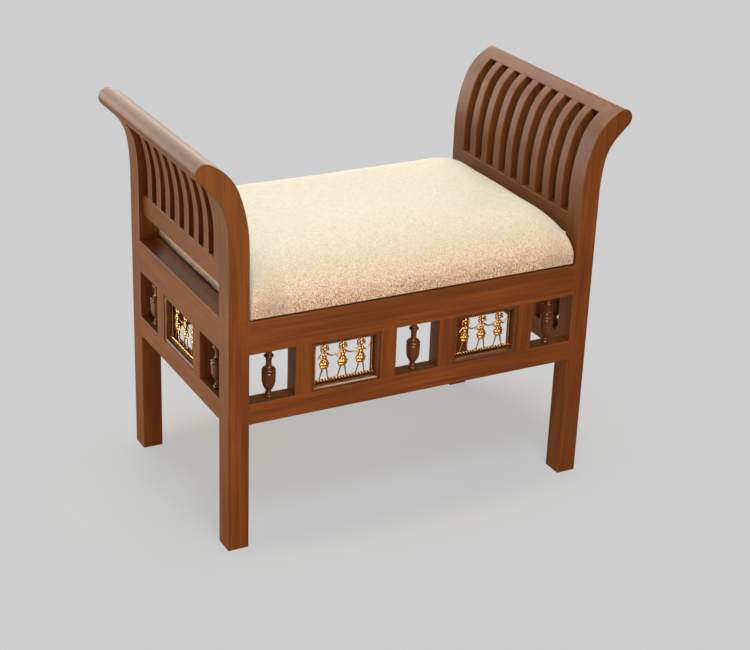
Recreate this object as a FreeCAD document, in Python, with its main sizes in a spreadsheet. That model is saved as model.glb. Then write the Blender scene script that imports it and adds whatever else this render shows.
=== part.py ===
"""Wooden arm bench with an upholstered seat, a gallery of turned balusters and cast brass panels.

X runs along the seat, Y from the front (-Y) to the back, Z up. The origin is on the floor under the middle.
"""
import FreeCAD, Part
import math
import os
import re

import Sketcher
from FreeCAD import Placement, Rotation, Vector

# Driving dimensions, in millimetres, degrees and counts
SIZES = {
    # over the outer faces of the four legs
    "leg_span": 600,
    "leg_depth": 378,
    "post_wide": 32,
    "post_deep": 34,
    # sweep of the arm: inner edge, then the edge at its back, then the rounded tip
    "sweep_start": 463.5,
    "gentle_radius": 244,
    "gentle_turn": 20,
    "scroll_radius": 82,
    "nose_turn": 52.8,
    "back_gentle_radius": 300,
    "back_gentle_turn": 10,
    "back_scroll_radius": 70,
    "back_scroll_turn": 36,
    "tip_turn": 66,
    # frame of the arm between its two posts
    "arm_rail_bottom": 399.5,
    "arm_rail_tall": 32.5,
    "arm_recess": 8,
    "slat_wide": 17.2,
    "slat_count": 8,
    # rails under the seat
    "low_rail_bottom": 199.5,
    "low_rail_tall": 32,
    "gallery_tall": 76.5,
    "seat_rail_tall": 50.5,
    "rail_thick": 27,
    "side_seat_rail_deep": 40,
    # uprights and panel openings of the gallery
    "muntin_wide": 26,
    "front_panel_wide": 110,
    "side_panel_wide": 116,
    # tenons, stubs and their clearance
    "tenon_thick": 9,
    "tenon_long": 12,
    "tenon_inset": 9,
    "tenon_shoulder": 4,
    "stub_long": 8,
    "stub_shoulder": 4,
    "dowel_dia": 10,
    "fit_gap": 0.15,
    # turned balusters: diameters, ring heights, and marks as shares of the visible length
    "pin_dia": 6,
    "foot_dia": 13.5,
    "ankle_dia": 10.5,
    "body_dia": 20.7,
    "neck_dia": 8.3,
    "collar_dia": 14.5,
    "foot_ring": 5.2,
    "ankle_ring": 3,
    "shoulder_ring": 4.6,
    "collar_ring": 5,
    "bowl_mark": 0.15,
    "body_mark": 0.36,
    "shoulder_mark": 0.53,
    "neck_mark": 0.66,
    "collar_mark": 0.82,
    # beads and brass panels
    "bead_wide": 6,
    "bead_deep": 9,
    "bead_lip": 4,
    "brass_setback": 12,
    "brass_thick": 2.5,
    "brass_border": 11,
    "brass_gap": 0.3,
    "dancer_count": 3,
    "panel_pin_dia": 1.6,
    "panel_pin_head": 3.2,
    "panel_pin_cap": 0.8,
    "panel_pin_bite": 4,
    "panel_pin_inset": 3,
    "panel_pin_run": 30,
    # seat pad
    "pad_gap": 1.6,
    "pad_tall": 81,
    "pad_shoulder": 14.5,
    "pad_draw": 0.5,
    "pad_bow": 1,
    "pad_corner": 4,
    "crown_flat": 230,
    "crown_fullness": 1.81,
    "cover_thick": 1.5,
    "cover_hem": 25,
    "board_thick": 12,
    "pad_clear": 0.3,
    # corner blocks and their screws
    "block_leg": 60,
    "block_tall": 28,
    "screw_dia": 5,
    "screw_head": 10,
    "screw_cap": 3.5,
    "bolt_bite": 12,
    "seat_screw_bite": 9,
    "seat_screw_run": 38,
    "seat_screw_in": 11,
}

# What follows from the driving dimensions
LAYOUT = {
    "clear_span": "leg_span - 2 * post_wide",
    "clear_depth": "leg_depth - 2 * post_deep",
    "gallery_bottom": "low_rail_bottom + low_rail_tall",
    "gallery_top": "gallery_bottom + gallery_tall",
    "seat_top": "gallery_top + seat_rail_tall",
    "front_pitch": "(clear_span + 2 * muntin_wide + front_panel_wide) / 3",
    "side_pitch": "(clear_depth + 2 * muntin_wide + side_panel_wide) / 4",
    "arm_rail_top": "arm_rail_bottom + arm_rail_tall",
    "arm_thick": "post_wide - arm_recess",
    "slot_wide": "(clear_depth - slat_count * slat_wide) / (slat_count + 1)",
    "slat_pitch": "slot_wide + slat_wide",
    # centres of the arm's large arcs and of its tip, outwards from the leg's outer face
    "scroll_x": "gentle_radius - post_wide - (gentle_radius - scroll_radius) * cos(gentle_turn)",
    "scroll_z": "sweep_start + (gentle_radius - scroll_radius) * sin(gentle_turn)",
    "scroll_span": "nose_turn - gentle_turn",
    "back_x": "back_gentle_radius - (back_gentle_radius - back_scroll_radius) * cos(back_gentle_turn)",
    "back_z": "sweep_start + (back_gentle_radius - back_scroll_radius) * sin(back_gentle_turn)",
    "under_turn": "back_gentle_turn + back_scroll_turn",
    "tip_reach": "(scroll_x - back_x) * cos(under_turn) - (scroll_z - back_z) * sin(under_turn)",
    "tip_lean": "cos(tip_turn - under_turn)",
    "tip_radius": "(scroll_radius * tip_lean - tip_reach - back_scroll_radius) / (1 + tip_lean)",
    "tip_span": "tip_turn - gentle_turn",
    "tip_x": "scroll_x - (scroll_radius - tip_radius) * cos(tip_turn)",
    "tip_z": "scroll_z + (scroll_radius - tip_radius) * sin(tip_turn)",
    "slat_rise": "sweep_start - arm_rail_top",
    # seat pad
    "pad_long": "clear_span - 2 * pad_gap",
    "crown_run": "(leg_depth - crown_flat) / 2",
    "board_top": "seat_top + cover_thick + board_thick",
    # inner corner that a corner block fills, in the front right quarter
    "post_face_x": "leg_span / 2 - post_wide",
    "post_face_y": "post_deep - leg_depth / 2",
    "rail_face_x": "leg_span / 2 - side_seat_rail_deep",
    "rail_face_y": "rail_thick - leg_depth / 2",
    "block_reach_y": "rail_face_y + block_leg + rail_face_x - post_face_x",
    "block_bottom": "seat_top - block_tall",
    "bolt_seat": "(block_leg - post_face_y + rail_face_y) / 2",
}

doc = FreeCAD.newDocument("ArmBench")
nodes = {}
START, END, CENTRE = range(1, 4)
ORIGIN = -1
WORD = re.compile(r"[a-z]+(?:_[a-z]+)*")


def rule(text, own_sheet=False):
    """Text of a formula with each named size written as its cell in a sheet."""

    def cell(match):
        word = match.group()
        if word in SIZES:
            return "Sizes." + word
        if word in LAYOUT and not own_sheet:
            return "Layout." + word
        return word

    return WORD.sub(cell, text)


def make_sheets():
    """The sheet of driving dimensions, the sheet of what follows from them, and one to reckon with."""
    sizes = doc.addObject("Spreadsheet::Sheet", "Sizes")
    layout = doc.addObject("Spreadsheet::Sheet", "Layout")
    for row, (name, value) in enumerate(SIZES.items(), 1):
        sizes.set(f"A{row}", name)
        sizes.set(f"B{row}", str(value))
        sizes.setAlias(f"B{row}", name)
    doc.recompute()
    for row, (name, formula) in enumerate(LAYOUT.items(), 1):
        layout.set(f"A{row}", name)
        layout.set(f"B{row}", "=" + rule(formula, own_sheet=True))
        layout.setAlias(f"B{row}", name)
    doc.recompute()
    return doc.addObject("Spreadsheet::Sheet", "Reckoner")


reckoner = make_sheets()


def number(text):
    """Value of a formula of the named sizes."""
    reckoner.set("A1", "=" + rule(text))
    reckoner.recompute()
    value = reckoner.get("A1")
    return float(getattr(value, "Value", value))


def bind(thing, **properties):
    """Ties properties of an object to formulas; a name such as Placement_Base_x is a path."""
    for name, text in properties.items():
        thing.setExpression(name.replace("_", "."), rule(text))


def place(thing, x="0", y="0", z="0", turn=None):
    """Puts an object at formulas along the three axes, turned by a fixed rotation."""
    thing.Placement = Placement(Vector(), turn or Rotation())
    bind(thing, Placement_Base_x=x, Placement_Base_y=y, Placement_Base_z=z)
    return thing


def block(name, x, y, z, grow="0"):
    """A box between two formulas along each axis, grown on every face by a clearance."""
    box = doc.addObject("Part::Box", name)
    for side, (low, high) in zip(("Length", "Width", "Height"), (x, y, z)):
        bind(box, **{side: f"({high}) - ({low}) + 2 * ({grow})"})
    return place(box, *(f"({low}) - ({grow})" for low, high in (x, y, z)))


def rod(name, dia, length, x, y, z, turn=None):
    """A cylinder from a point along its own axis, which is Z before the turn."""
    cylinder = doc.addObject("Part::Cylinder", name)
    bind(cylinder, Radius=f"({dia}) / 2", Height=length)
    return place(cylinder, x, y, z, turn)


def joined(name, pieces):
    """One solid from overlapping pieces."""
    fuse = doc.addObject("Part::MultiFuse", name)
    fuse.Shapes = pieces
    fuse.Refine = True
    return fuse


def grouped(name, pieces):
    """Separate solids kept as one group."""
    compound = doc.addObject("Part::Compound", name)
    compound.Links = pieces
    return compound


def cut(name, base, tools):
    """A piece with its mortises or holes taken out."""
    result = doc.addObject("Part::Cut", name)
    result.Base = base
    result.Tool = tools[0] if len(tools) == 1 else grouped(name + "_tools", tools)
    return result


def node(label, thing):
    """Names a finished piece, which also names its file."""
    thing.Label = label
    nodes[label] = thing
    return thing


def sketch_in(body, role="XZ_Plane"):
    """A sketch on one of a body's own origin planes."""
    plane = next(p for p in body.Origin.OriginFeatures if p.Role == role)
    sketch = body.newObject("Sketcher::SketchObject", body.Name + "_sketch")
    sketch.AttachmentSupport = (plane, [""])
    sketch.MapMode = "FlatFace"
    return sketch


def tie(sketch, kind, *where):
    """A constraint with no size."""
    sketch.addConstraint(Sketcher.Constraint(kind, *where))


def dimension(sketch, kind, where, text):
    """A constraint whose size is a formula; an angle's formula is in degrees."""
    value = number(text)
    angle = kind == "Angle"
    index = sketch.addConstraint(Sketcher.Constraint(kind, *where, math.radians(value) if angle else value))
    sketch.setExpression(f"Constraints[{index}]", rule(f"({text}) * 1 deg" if angle else text))


def padded(body, sketch, length, both_ways=True):
    """A sketch padded to a formula, half to each side or upwards."""
    pad = body.newObject("PartDesign::Pad", body.Name + "_pad")
    pad.Profile = sketch
    pad.SideType = "Symmetric" if both_ways else "One side"
    bind(pad, Length=length)
    body.Tip = pad
    return body


# Curves of the arm. A heading is the angle that an edge has turned from upright.


def at_heading(centre, radius, heading):
    """Point of an arm arc at a heading."""
    turn = math.radians(heading)
    return Vector(centre[0] - radius * math.cos(turn), centre[1] + radius * math.sin(turn), 0)


def arm_arc(centre, radius, low, high):
    """Arc between two headings; it starts at the higher one."""
    circle = Part.Circle(Vector(*centre, 0), Vector(0, 0, 1), radius)
    return Part.ArcOfCircle(circle, math.pi - math.radians(high), math.pi - math.radians(low))


def arm_outline(sketch):
    """Outline of a leg with its curled arm, from the leg's outer face at x = 0."""
    wide, start = number("post_wide"), number("sweep_start")
    scroll = (number("scroll_x"), number("scroll_z"))
    back = (number("back_x"), number("back_z"))
    tip = (number("tip_x"), number("tip_z"))
    gentle, back_gentle = number("gentle_turn"), number("back_gentle_turn")
    under, over = number("under_turn"), number("tip_turn")
    gentle_radius, scroll_radius = number("gentle_radius"), number("scroll_radius")
    back_gentle_radius, back_radius = number("back_gentle_radius"), number("back_scroll_radius")
    tip_radius = number("tip_radius")
    foot_in, foot_out = Vector(-wide, 0, 0), Vector(0, 0, 0)
    tip_arc = arm_arc(tip, tip_radius, over, HALF + under)
    edges = sketch.addGeometry([
        Part.LineSegment(foot_in, foot_out),
        Part.LineSegment(foot_out, Vector(0, start, 0)),
        arm_arc((back_gentle_radius, start), back_gentle_radius, 0, back_gentle),
        arm_arc(back, back_radius, back_gentle, under),
        Part.LineSegment(at_heading(back, back_radius, under), tip_arc.StartPoint),
        tip_arc,
        arm_arc(scroll, scroll_radius, gentle, over),
        arm_arc((gentle_radius - wide, start), gentle_radius, 0, gentle),
        Part.LineSegment(Vector(-wide, start, 0), foot_in),
    ], False)
    foot, outer, lower_back, upper_back, under_line, nose, scroll_arc, gentle_arc, inner = edges
    tie(sketch, "Coincident", foot, END, outer, START)
    tie(sketch, "Tangent", outer, END, lower_back, END)
    tie(sketch, "Tangent", lower_back, START, upper_back, END)
    tie(sketch, "Tangent", upper_back, START, under_line, START)
    tie(sketch, "Tangent", under_line, END, nose, START)
    tie(sketch, "Tangent", nose, END, scroll_arc, START)
    tie(sketch, "Tangent", scroll_arc, END, gentle_arc, START)
    tie(sketch, "Tangent", gentle_arc, END, inner, START)
    tie(sketch, "Coincident", inner, END, foot, START)
    tie(sketch, "Coincident", outer, START, ORIGIN, START)
    tie(sketch, "Horizontal", foot)
    tie(sketch, "Vertical", outer)
    tie(sketch, "Vertical", inner)
    tie(sketch, "Horizontal", outer, END, inner, START)
    dimension(sketch, "DistanceX", (foot, START, foot, END), "post_wide")
    dimension(sketch, "DistanceY", (outer, START, outer, END), "sweep_start")
    dimension(sketch, "Radius", (lower_back,), "back_gentle_radius")
    dimension(sketch, "Radius", (upper_back,), "back_scroll_radius")
    dimension(sketch, "Radius", (scroll_arc,), "scroll_radius")
    dimension(sketch, "Radius", (gentle_arc,), "gentle_radius")
    dimension(sketch, "Angle", (lower_back,), "back_gentle_turn")
    dimension(sketch, "Angle", (upper_back,), "back_scroll_turn")
    dimension(sketch, "Angle", (scroll_arc,), "tip_span")
    dimension(sketch, "Angle", (gentle_arc,), "gentle_turn")


def slat_outline(sketch):
    """Outline of an arm slat, which follows the arm's inner edge from the lower rail to the nose."""
    wide, thick = number("post_wide"), number("arm_thick")
    low, start = number("arm_rail_top"), number("sweep_start")
    scroll = (number("scroll_x"), number("scroll_z"))
    gentle, high = number("gentle_turn"), number("nose_turn")
    gentle_radius, scroll_radius = number("gentle_radius"), number("scroll_radius")
    centre = (gentle_radius - wide, start)
    foot_in, foot_out = Vector(-wide, low, 0), Vector(thick - wide, low, 0)
    top_in, top_out = at_heading(scroll, scroll_radius, high), at_heading(scroll, scroll_radius - thick, high)
    foot, outer, outer_gentle, outer_scroll, top, scroll_arc, gentle_arc, inner = sketch.addGeometry([
        Part.LineSegment(foot_in, foot_out),
        Part.LineSegment(foot_out, Vector(thick - wide, start, 0)),
        arm_arc(centre, gentle_radius - thick, 0, gentle),
        arm_arc(scroll, scroll_radius - thick, gentle, high),
        Part.LineSegment(top_out, top_in),
        arm_arc(scroll, scroll_radius, gentle, high),
        arm_arc(centre, gentle_radius, 0, gentle),
        Part.LineSegment(Vector(-wide, start, 0), foot_in),
    ], False)
    tie(sketch, "Coincident", foot, END, outer, START)
    tie(sketch, "Tangent", outer, END, outer_gentle, END)
    tie(sketch, "Tangent", outer_gentle, START, outer_scroll, END)
    tie(sketch, "Coincident", outer_scroll, START, top, START)
    tie(sketch, "Perpendicular", top, END, scroll_arc, START)
    tie(sketch, "Tangent", scroll_arc, END, gentle_arc, START)
    tie(sketch, "Tangent", gentle_arc, END, inner, START)
    tie(sketch, "Coincident", inner, END, foot, START)
    tie(sketch, "Coincident", outer_gentle, CENTRE, gentle_arc, CENTRE)
    tie(sketch, "Coincident", outer_scroll, CENTRE, scroll_arc, CENTRE)
    tie(sketch, "Horizontal", foot)
    tie(sketch, "Vertical", outer)
    tie(sketch, "Vertical", inner)
    dimension(sketch, "DistanceX", (foot, START, ORIGIN, START), "post_wide")
    dimension(sketch, "DistanceY", (ORIGIN, START, foot, START), "arm_rail_top")
    dimension(sketch, "DistanceX", (foot, START, foot, END), "arm_thick")
    dimension(sketch, "DistanceY", (inner, END, inner, START), "slat_rise")
    dimension(sketch, "Radius", (scroll_arc,), "scroll_radius")
    dimension(sketch, "Radius", (gentle_arc,), "gentle_radius")
    dimension(sketch, "Angle", (scroll_arc,), "scroll_span")
    dimension(sketch, "Angle", (gentle_arc,), "gentle_turn")


# The sides of the bench, a quarter turn apart: a run goes along one, a depth in from the legs' outer faces

SIDES = {
    "front": ("leg_depth / 2", "clear_span"),
    "right": ("leg_span / 2", "clear_depth"),
    "back": ("leg_depth / 2", "clear_span"),
    "left": ("leg_span / 2", "clear_depth"),
}
QUARTER = math.degrees(math.pi / 2)
HALF = 2 * QUARTER


def negative(span):
    """A range seen from the other way round."""
    low, high = span
    return f"-({high})", f"-({low})"


def around(side, run, depth):
    """Ranges along X and Y of a range along a side's run and a range of depth."""
    reach = SIDES[side][0]
    in_from_face = tuple(f"({d}) - ({reach})" for d in depth)
    return {
        "front": (run, in_from_face),
        "right": (negative(in_from_face), run),
        "back": (negative(run), negative(in_from_face)),
        "left": (in_from_face, negative(run)),
    }[side]


def side_block(name, side, run, depth, z, grow="0"):
    """A box on a side of the bench."""
    return block(name, *around(side, run, depth), z, grow)


def side_point(side, run, depth):
    """Formulas along X and Y of a place on a side."""
    x, y = around(side, (run, run), (depth, depth))
    return x[0], y[0]


def spread(middle, width):
    """A range of a width about its middle."""
    return f"({middle}) - ({width}) / 2", f"({middle}) + ({width}) / 2"


MID_RAIL = ("tenon_inset", "tenon_inset + tenon_thick")
ARM_MIDDLE = "arm_recess + arm_thick / 2"
LOW_RAIL = ("low_rail_bottom", "gallery_bottom")
SEAT_RAIL = ("gallery_top", "seat_top")
GALLERY = ("gallery_bottom", "gallery_top")
ARM_RAIL = ("arm_rail_bottom", "arm_rail_top")


def tenon_block(name, side, depth, z, grow="0"):
    """The tenons of a rail, as one bar through its whole length."""
    clear = SIDES[side][1]
    height = (f"{z[0]} + tenon_shoulder", f"{z[1]} - tenon_shoulder")
    return side_block(name, side, spread("0", f"{clear} + 2 * tenon_long"), depth, height, grow)


def rail(label, side, depth, tenon_depth, z, tools):
    """A rail between two posts with a tenon on each end; returns the mortise that the posts need."""
    bar = side_block(label + "_bar", side, spread("0", SIDES[side][1]), depth, z)
    tenon = tenon_block(label + "_tenon", side, tenon_depth, z)
    node(label, cut(label, joined(label + "_blank", [bar, tenon]), tools))
    return tenon_block(label + "_mortise", side, tenon_depth, z, "fit_gap")


def turned_outline(sketch):
    """Half outline of a baluster, from its axis: pins, foot rings, bowl, body, shoulder, neck and collar."""
    axis_low = ("0", "-stub_long")
    axis_high = ("0", "gallery_tall + stub_long")
    ring_low, ring_high = "gallery_tall * shoulder_mark", "gallery_tall * shoulder_mark + shoulder_ring"
    collar_low, collar_high = "gallery_tall * collar_mark", "gallery_tall * collar_mark + collar_ring"
    path = [
        ("line", "pin_dia / 2", "-stub_long"),
        ("line", "pin_dia / 2", "0"),
        ("line", "foot_dia / 2 - foot_ring / 2", "0"),
        ("ring", "foot_dia / 2 - foot_ring / 2", "foot_ring"),
        ("line", "ankle_dia / 2 - ankle_ring / 2", "foot_ring"),
        ("ring", "ankle_dia / 2 - ankle_ring / 2", "foot_ring + ankle_ring"),
        ("line", "neck_dia / 2", "gallery_tall * bowl_mark"),
        ("bowl", "body_dia / 2", "gallery_tall * body_mark"),
        ("line", "body_dia / 2", ring_low),
        ("line", "body_dia / 2 - shoulder_ring / 2", ring_low),
        ("ring", "body_dia / 2 - shoulder_ring / 2", ring_high),
        ("line", "neck_dia / 2", "gallery_tall * neck_mark"),
        ("line", "neck_dia / 2", collar_low),
        ("line", "collar_dia / 2 - collar_ring / 2", collar_low),
        ("ring", "collar_dia / 2 - collar_ring / 2", collar_high),
        ("line", "neck_dia / 2", collar_high),
        ("line", "neck_dia / 2", "gallery_tall"),
        ("line", "pin_dia / 2", "gallery_tall"),
        ("line", "pin_dia / 2", "gallery_tall + stub_long"),
        ("line", *axis_high),
        ("line", *axis_low),
    ]
    here = Vector(number(axis_low[0]), number(axis_low[1]), 0)
    ends = []
    for kind, x, y in path:
        there = Vector(number(x), number(y), 0)
        ends.append(turned_edge(sketch, kind, here, there))
        here = there
    for (edge, first, last), after in zip(ends, ends[1:] + ends[:1]):
        tie(sketch, "Coincident", edge, last, *after[:2])
    for (kind, x, y), (edge, first, last) in zip(path, ends):
        pin_point(sketch, edge, last, x, y)
        if kind == "ring":
            tie(sketch, "Vertical", edge, CENTRE, edge, last)
        if kind == "bowl":
            tie(sketch, "Horizontal", edge, CENTRE, edge, last)


def turned_edge(sketch, kind, here, there):
    """Adds one edge of a turned outline; returns it with the ends that it starts and stops at."""
    if kind == "line":
        return sketch.addGeometry(Part.LineSegment(here, there), False), START, END
    if kind == "ring":
        circle = Part.Circle((here + there) / 2, Vector(0, 0, 1), (there - here).Length / 2)
        return sketch.addGeometry(Part.ArcOfCircle(circle, -math.pi / 2, math.pi / 2), False), START, END
    run, rise = there.x - here.x, there.y - here.y
    radius = (run ** 2 + rise ** 2) / (2 * run)
    circle = Part.Circle(Vector(there.x - radius, there.y, 0), Vector(0, 0, 1), radius)
    return sketch.addGeometry(Part.ArcOfCircle(circle, -math.asin(rise / radius), 0), False), START, END


def pin_point(sketch, edge, end, x, y):
    """Fixes an end of an edge at formulas from the sketch's origin."""
    for kind, text in (("DistanceX", x), ("DistanceY", y)):
        if text == "0":
            tie(sketch, "PointOnObject", edge, end, -2 if kind == "DistanceX" else -1)
        else:
            dimension(sketch, kind, (ORIGIN, START, edge, end), text)


def baluster(label, x, y):
    """A turned baluster with a pin at each end."""
    body = doc.addObject("PartDesign::Body", label)
    sketch = sketch_in(body)
    turned_outline(sketch)
    turning = body.newObject("PartDesign::Revolution", label + "_turning")
    turning.Profile = sketch
    turning.ReferenceAxis = (sketch, ["V_Axis"])
    turning.Angle = 360
    body.Tip = turning
    return node(label, place(body, x, y, "gallery_bottom"))


# Brass panels and their beads. A panel lies in its own plane: X along the run, Y up, Z out of the bench.

def panel_frame(thing, side, centre):
    """Stands a panel's plane up in its opening, on the back of its beads."""
    turn = Rotation(Vector(0, 0, 1), QUARTER * list(SIDES).index(side)) * Rotation(Vector(1, 0, 0), QUARTER)
    x, y = side_point(side, centre, "brass_setback")
    return place(thing, x, y, "(gallery_bottom + gallery_top) / 2", turn)


def pin_places():
    """Places of the pins of a panel, along the strips above and below it."""
    inset = "gallery_tall / 2 - panel_pin_inset"
    return [(x, y) for x in ("-panel_pin_run", "panel_pin_run") for y in (f"-({inset})", inset)]


def bead(label, side, centre, wide):
    """Four mitred strips round a panel, sloping in from the opening's edge to a thin lip."""
    strips = []
    for quarter in range(4):
        lying = quarter % 2 == 0
        length, reach = (wide, "gallery_tall / 2") if lying else ("gallery_tall", f"{wide} / 2")
        strip = doc.addObject("Part::Wedge", f"{label}_strip")
        bind(strip, Xmin=f"-({length}) / 2", Xmax=f"({length}) / 2", Ymin="0", Ymax="bead_wide",
             Zmin="0", Zmax="bead_deep", X2min=f"bead_wide - ({length}) / 2",
             X2max=f"({length}) / 2 - bead_wide", Z2min="0", Z2max="bead_lip")
        outwards = [("0", f"-({reach})"), (reach, "0"), ("0", reach), (f"-({reach})", "0")]
        place(strip, *outwards[quarter], "0", Rotation(Vector(0, 0, 1), QUARTER * quarter))
        if lying:
            pins = [(x, y) for x, y in pin_places() if y.startswith("-") == (quarter == 0)]
            hole_dia, hole_deep = "panel_pin_dia + 2 * fit_gap", "panel_pin_bite + fit_gap"
            holes = [rod(label + "_hole", hole_dia, hole_deep, x, y, "0") for x, y in pins]
            strip = cut(label + "_strip", strip, holes)
        strips.append(strip)
    return node(label, panel_frame(grouped(label, strips), side, centre))


# Half outline of a dancer as shares of the pitch between dancers and of the panel's clear height:
# between the feet, both sides of a foot, hem, waist, under the arm, the hand, shoulder, neck and head
DANCER = [(0, 0.44), (0.25, 0), (0.31, 0), (0.17, 0.42), (0.25, 0.42), (0.085, 0.64), (0.13, 0.7),
          (0.5, 0.62), (0.5, 0.67), (0.13, 0.78), (0.06, 0.81), (0.12, 0.88), (0.1, 1), (0, 1)]
DANCER_OVERLAP = 0.6


def brass_panel(label, side, centre, wide):
    """A cast brass plate pinned behind the beads: a border round a row of dancers with linked arms."""
    long, tall, thick = number(wide), number("gallery_tall"), number("brass_thick")
    border, gap, count = number("brass_border"), number("brass_gap"), int(number("dancer_count"))
    low = Vector(-long / 2 + gap, -tall / 2 + gap, -thick)
    plate = Part.makeBox(long - 2 * gap, tall - 2 * gap, thick, low)
    clear_long, clear_tall = long - 2 * border, tall - 2 * border
    inner_low = Vector(-clear_long / 2, -clear_tall / 2, -thick)
    plate = plate.cut(Part.makeBox(clear_long, clear_tall, thick, inner_low))
    pitch = clear_long / count
    for place_in_row in range(count):
        middle = (place_in_row + 0.5) * pitch - clear_long / 2
        half = [(x * (pitch + DANCER_OVERLAP), y * (clear_tall + DANCER_OVERLAP)) for x, y in DANCER]
        outline = half + [(-x, y) for x, y in reversed(half) if x]
        bottom = -(clear_tall + DANCER_OVERLAP) / 2
        corners = [Vector(middle + x, bottom + y, -thick) for x, y in outline]
        dancer = Part.Face(Part.makePolygon(corners + corners[:1])).extrude(Vector(0, 0, thick))
        plate = plate.fuse(dancer)
    hole = number("panel_pin_dia / 2 + fit_gap")
    for x, y in pin_places():
        plate = plate.cut(Part.makeCylinder(hole, thick, Vector(number(x), number(y), -thick)))
    brass = doc.addObject("Part::Feature", label)
    brass.Shape = plate.removeSplitter()
    return node(label, panel_frame(brass, side, centre))


def panel_pins(label, side, centre):
    """The pins through one brass panel into its beads."""
    pins = []
    for x, y in pin_places():
        shank = rod(label + "_shank", "panel_pin_dia", "brass_thick + panel_pin_bite", x, y, "-brass_thick")
        cap = rod(label + "_cap", "panel_pin_head", "panel_pin_cap", x, y, "-brass_thick - panel_pin_cap")
        pins.append(joined(label + "_pin", [shank, cap]))
    return panel_frame(grouped(label, pins), side, centre)


def gallery(side, panel_wide, panel_places, baluster_places):
    """Uprights, balusters, beads and brass of one side; returns the mortises that its rails need."""
    mortises, pins = [], []
    for index, centre in enumerate(panel_places, 1):
        tail = f"_{index}" if len(panel_places) > 1 else ""
        bead(f"{side}_panel_beads{tail}", side, centre, panel_wide)
        brass_panel(f"{side}_brass_panel{tail}", side, centre, panel_wide)
        pins.append(panel_pins(f"{side}_panel_pins{tail}", side, centre))
    uprights = [f"{centre} {way} ({panel_wide} + muntin_wide) / 2" for centre in panel_places for way in "-+"]
    for index, centre in enumerate(uprights, 1):
        label = f"{side}_muntin_{index}"
        bar = side_block(label + "_bar", side, spread(centre, "muntin_wide"), ("0", "rail_thick"), GALLERY)
        stub = (spread(centre, "muntin_wide - 2 * stub_shoulder"), MID_RAIL,
                ("gallery_bottom - stub_long", "gallery_top + stub_long"))
        node(label, joined(label, [bar, side_block(label + "_stub", side, *stub)]))
        mortises.append(side_block(label + "_mortise", side, *stub, "fit_gap"))
    for index, centre in enumerate(baluster_places, 1):
        label = f"{side}_baluster_{index}"
        x, y = side_point(side, centre, "rail_thick / 2")
        baluster(label, x, y)
        mortises.append(rod(label + "_socket", "pin_dia + 2 * fit_gap",
                            "gallery_tall + 2 * (stub_long + fit_gap)", x, y,
                            "gallery_bottom - stub_long - fit_gap"))
    return mortises, pins


ALONG_ARM = Rotation(Vector(1, 0, 0), QUARTER)


def slat_middle(index):
    """Place of a slat along the arm's run."""
    return f"(slot_wide + slat_wide / 2) + {index} * slat_pitch - clear_depth / 2"


def arm(side):
    """Lower rail, slats and top rail of one arm; returns the mortises that its posts need."""
    turn = Rotation(Vector(0, 0, 1), 0 if side == "right" else HALF)
    face = "leg_span / 2" if side == "right" else "-leg_span / 2"
    slats, sockets = [], []
    for index in range(int(number("slat_count"))):
        name = f"{side}_slat_{index + 1}"
        body = doc.addObject("PartDesign::Body", name)
        sketch = sketch_in(body)
        slat_outline(sketch)
        padded(body, sketch, "slat_wide")
        run = slat_middle(index)
        place(body, face, side_point(side, run, "0")[1], "0", turn)
        stub = (spread(run, "slat_wide - 2 * stub_shoulder"), spread(ARM_MIDDLE, "tenon_thick"),
                ("arm_rail_top - stub_long", "arm_rail_top"))
        slats.append(joined(name + "_stubbed", [body, side_block(name + "_stub", side, *stub)]))
        sockets.append(side_block(name + "_socket", side, *stub, "fit_gap"))
    node(f"{side}_arm_slats", grouped(f"{side}_arm_slats", slats))
    mortise = rail(f"{side}_arm_lower_rail", side, ("arm_recess", "post_wide"),
                   spread(ARM_MIDDLE, "tenon_thick"), ARM_RAIL, sockets)
    label = f"{side}_arm_top_rail"
    body = doc.addObject("PartDesign::Body", label + "_outline")
    sketch = sketch_in(body)
    arm_outline(sketch)
    padded(body, sketch, "clear_depth")
    above = doc.addObject("Part::Box", label + "_above")
    bind(above, Length="2 * scroll_radius", Width="clear_depth", Height="2 * scroll_radius")
    lean = Rotation(Vector(0, -1, 0), QUARTER - number("nose_turn"))
    place(above, "scroll_x", "-clear_depth / 2", "scroll_z", lean)
    bind(above, Placement_Rotation_Angle="(90 - nose_turn) * 1 deg")
    nose = doc.addObject("Part::Common", label + "_nose")
    nose.Base = body
    nose.Tool = above
    dowel = rod(label + "_dowel", "dowel_dia", "clear_depth + 2 * tenon_long",
                "tip_x", "clear_depth / 2 + tenon_long", "tip_z", ALONG_ARM)
    node(label, place(joined(label, [nose, dowel]), face, "0", "0", turn))
    out = "tip_x" if side == "right" else "-tip_x"
    hole = rod(label + "_hole", "dowel_dia + 2 * fit_gap", "clear_depth + 2 * (tenon_long + fit_gap)",
               f"{face} + {out}", "clear_depth / 2 + tenon_long + fit_gap", "tip_z", ALONG_ARM)
    return [mortise, hole]


def post(label, side, along, mortises):
    """A leg with its curled arm, mortised for the rails that meet it."""
    body = doc.addObject("PartDesign::Body", label + "_blank")
    sketch = sketch_in(body)
    arm_outline(sketch)
    padded(body, sketch, "post_deep")
    turn = Rotation(Vector(0, 0, 1), 0 if side == "right" else HALF)
    face = "leg_span / 2" if side == "right" else "-leg_span / 2"
    place(body, face, f"{along} * (leg_depth - post_deep) / 2", "0", turn)
    return node(label, cut(label, body, mortises))


# Corner blocks with their screws, drawn in the front right corner


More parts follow.
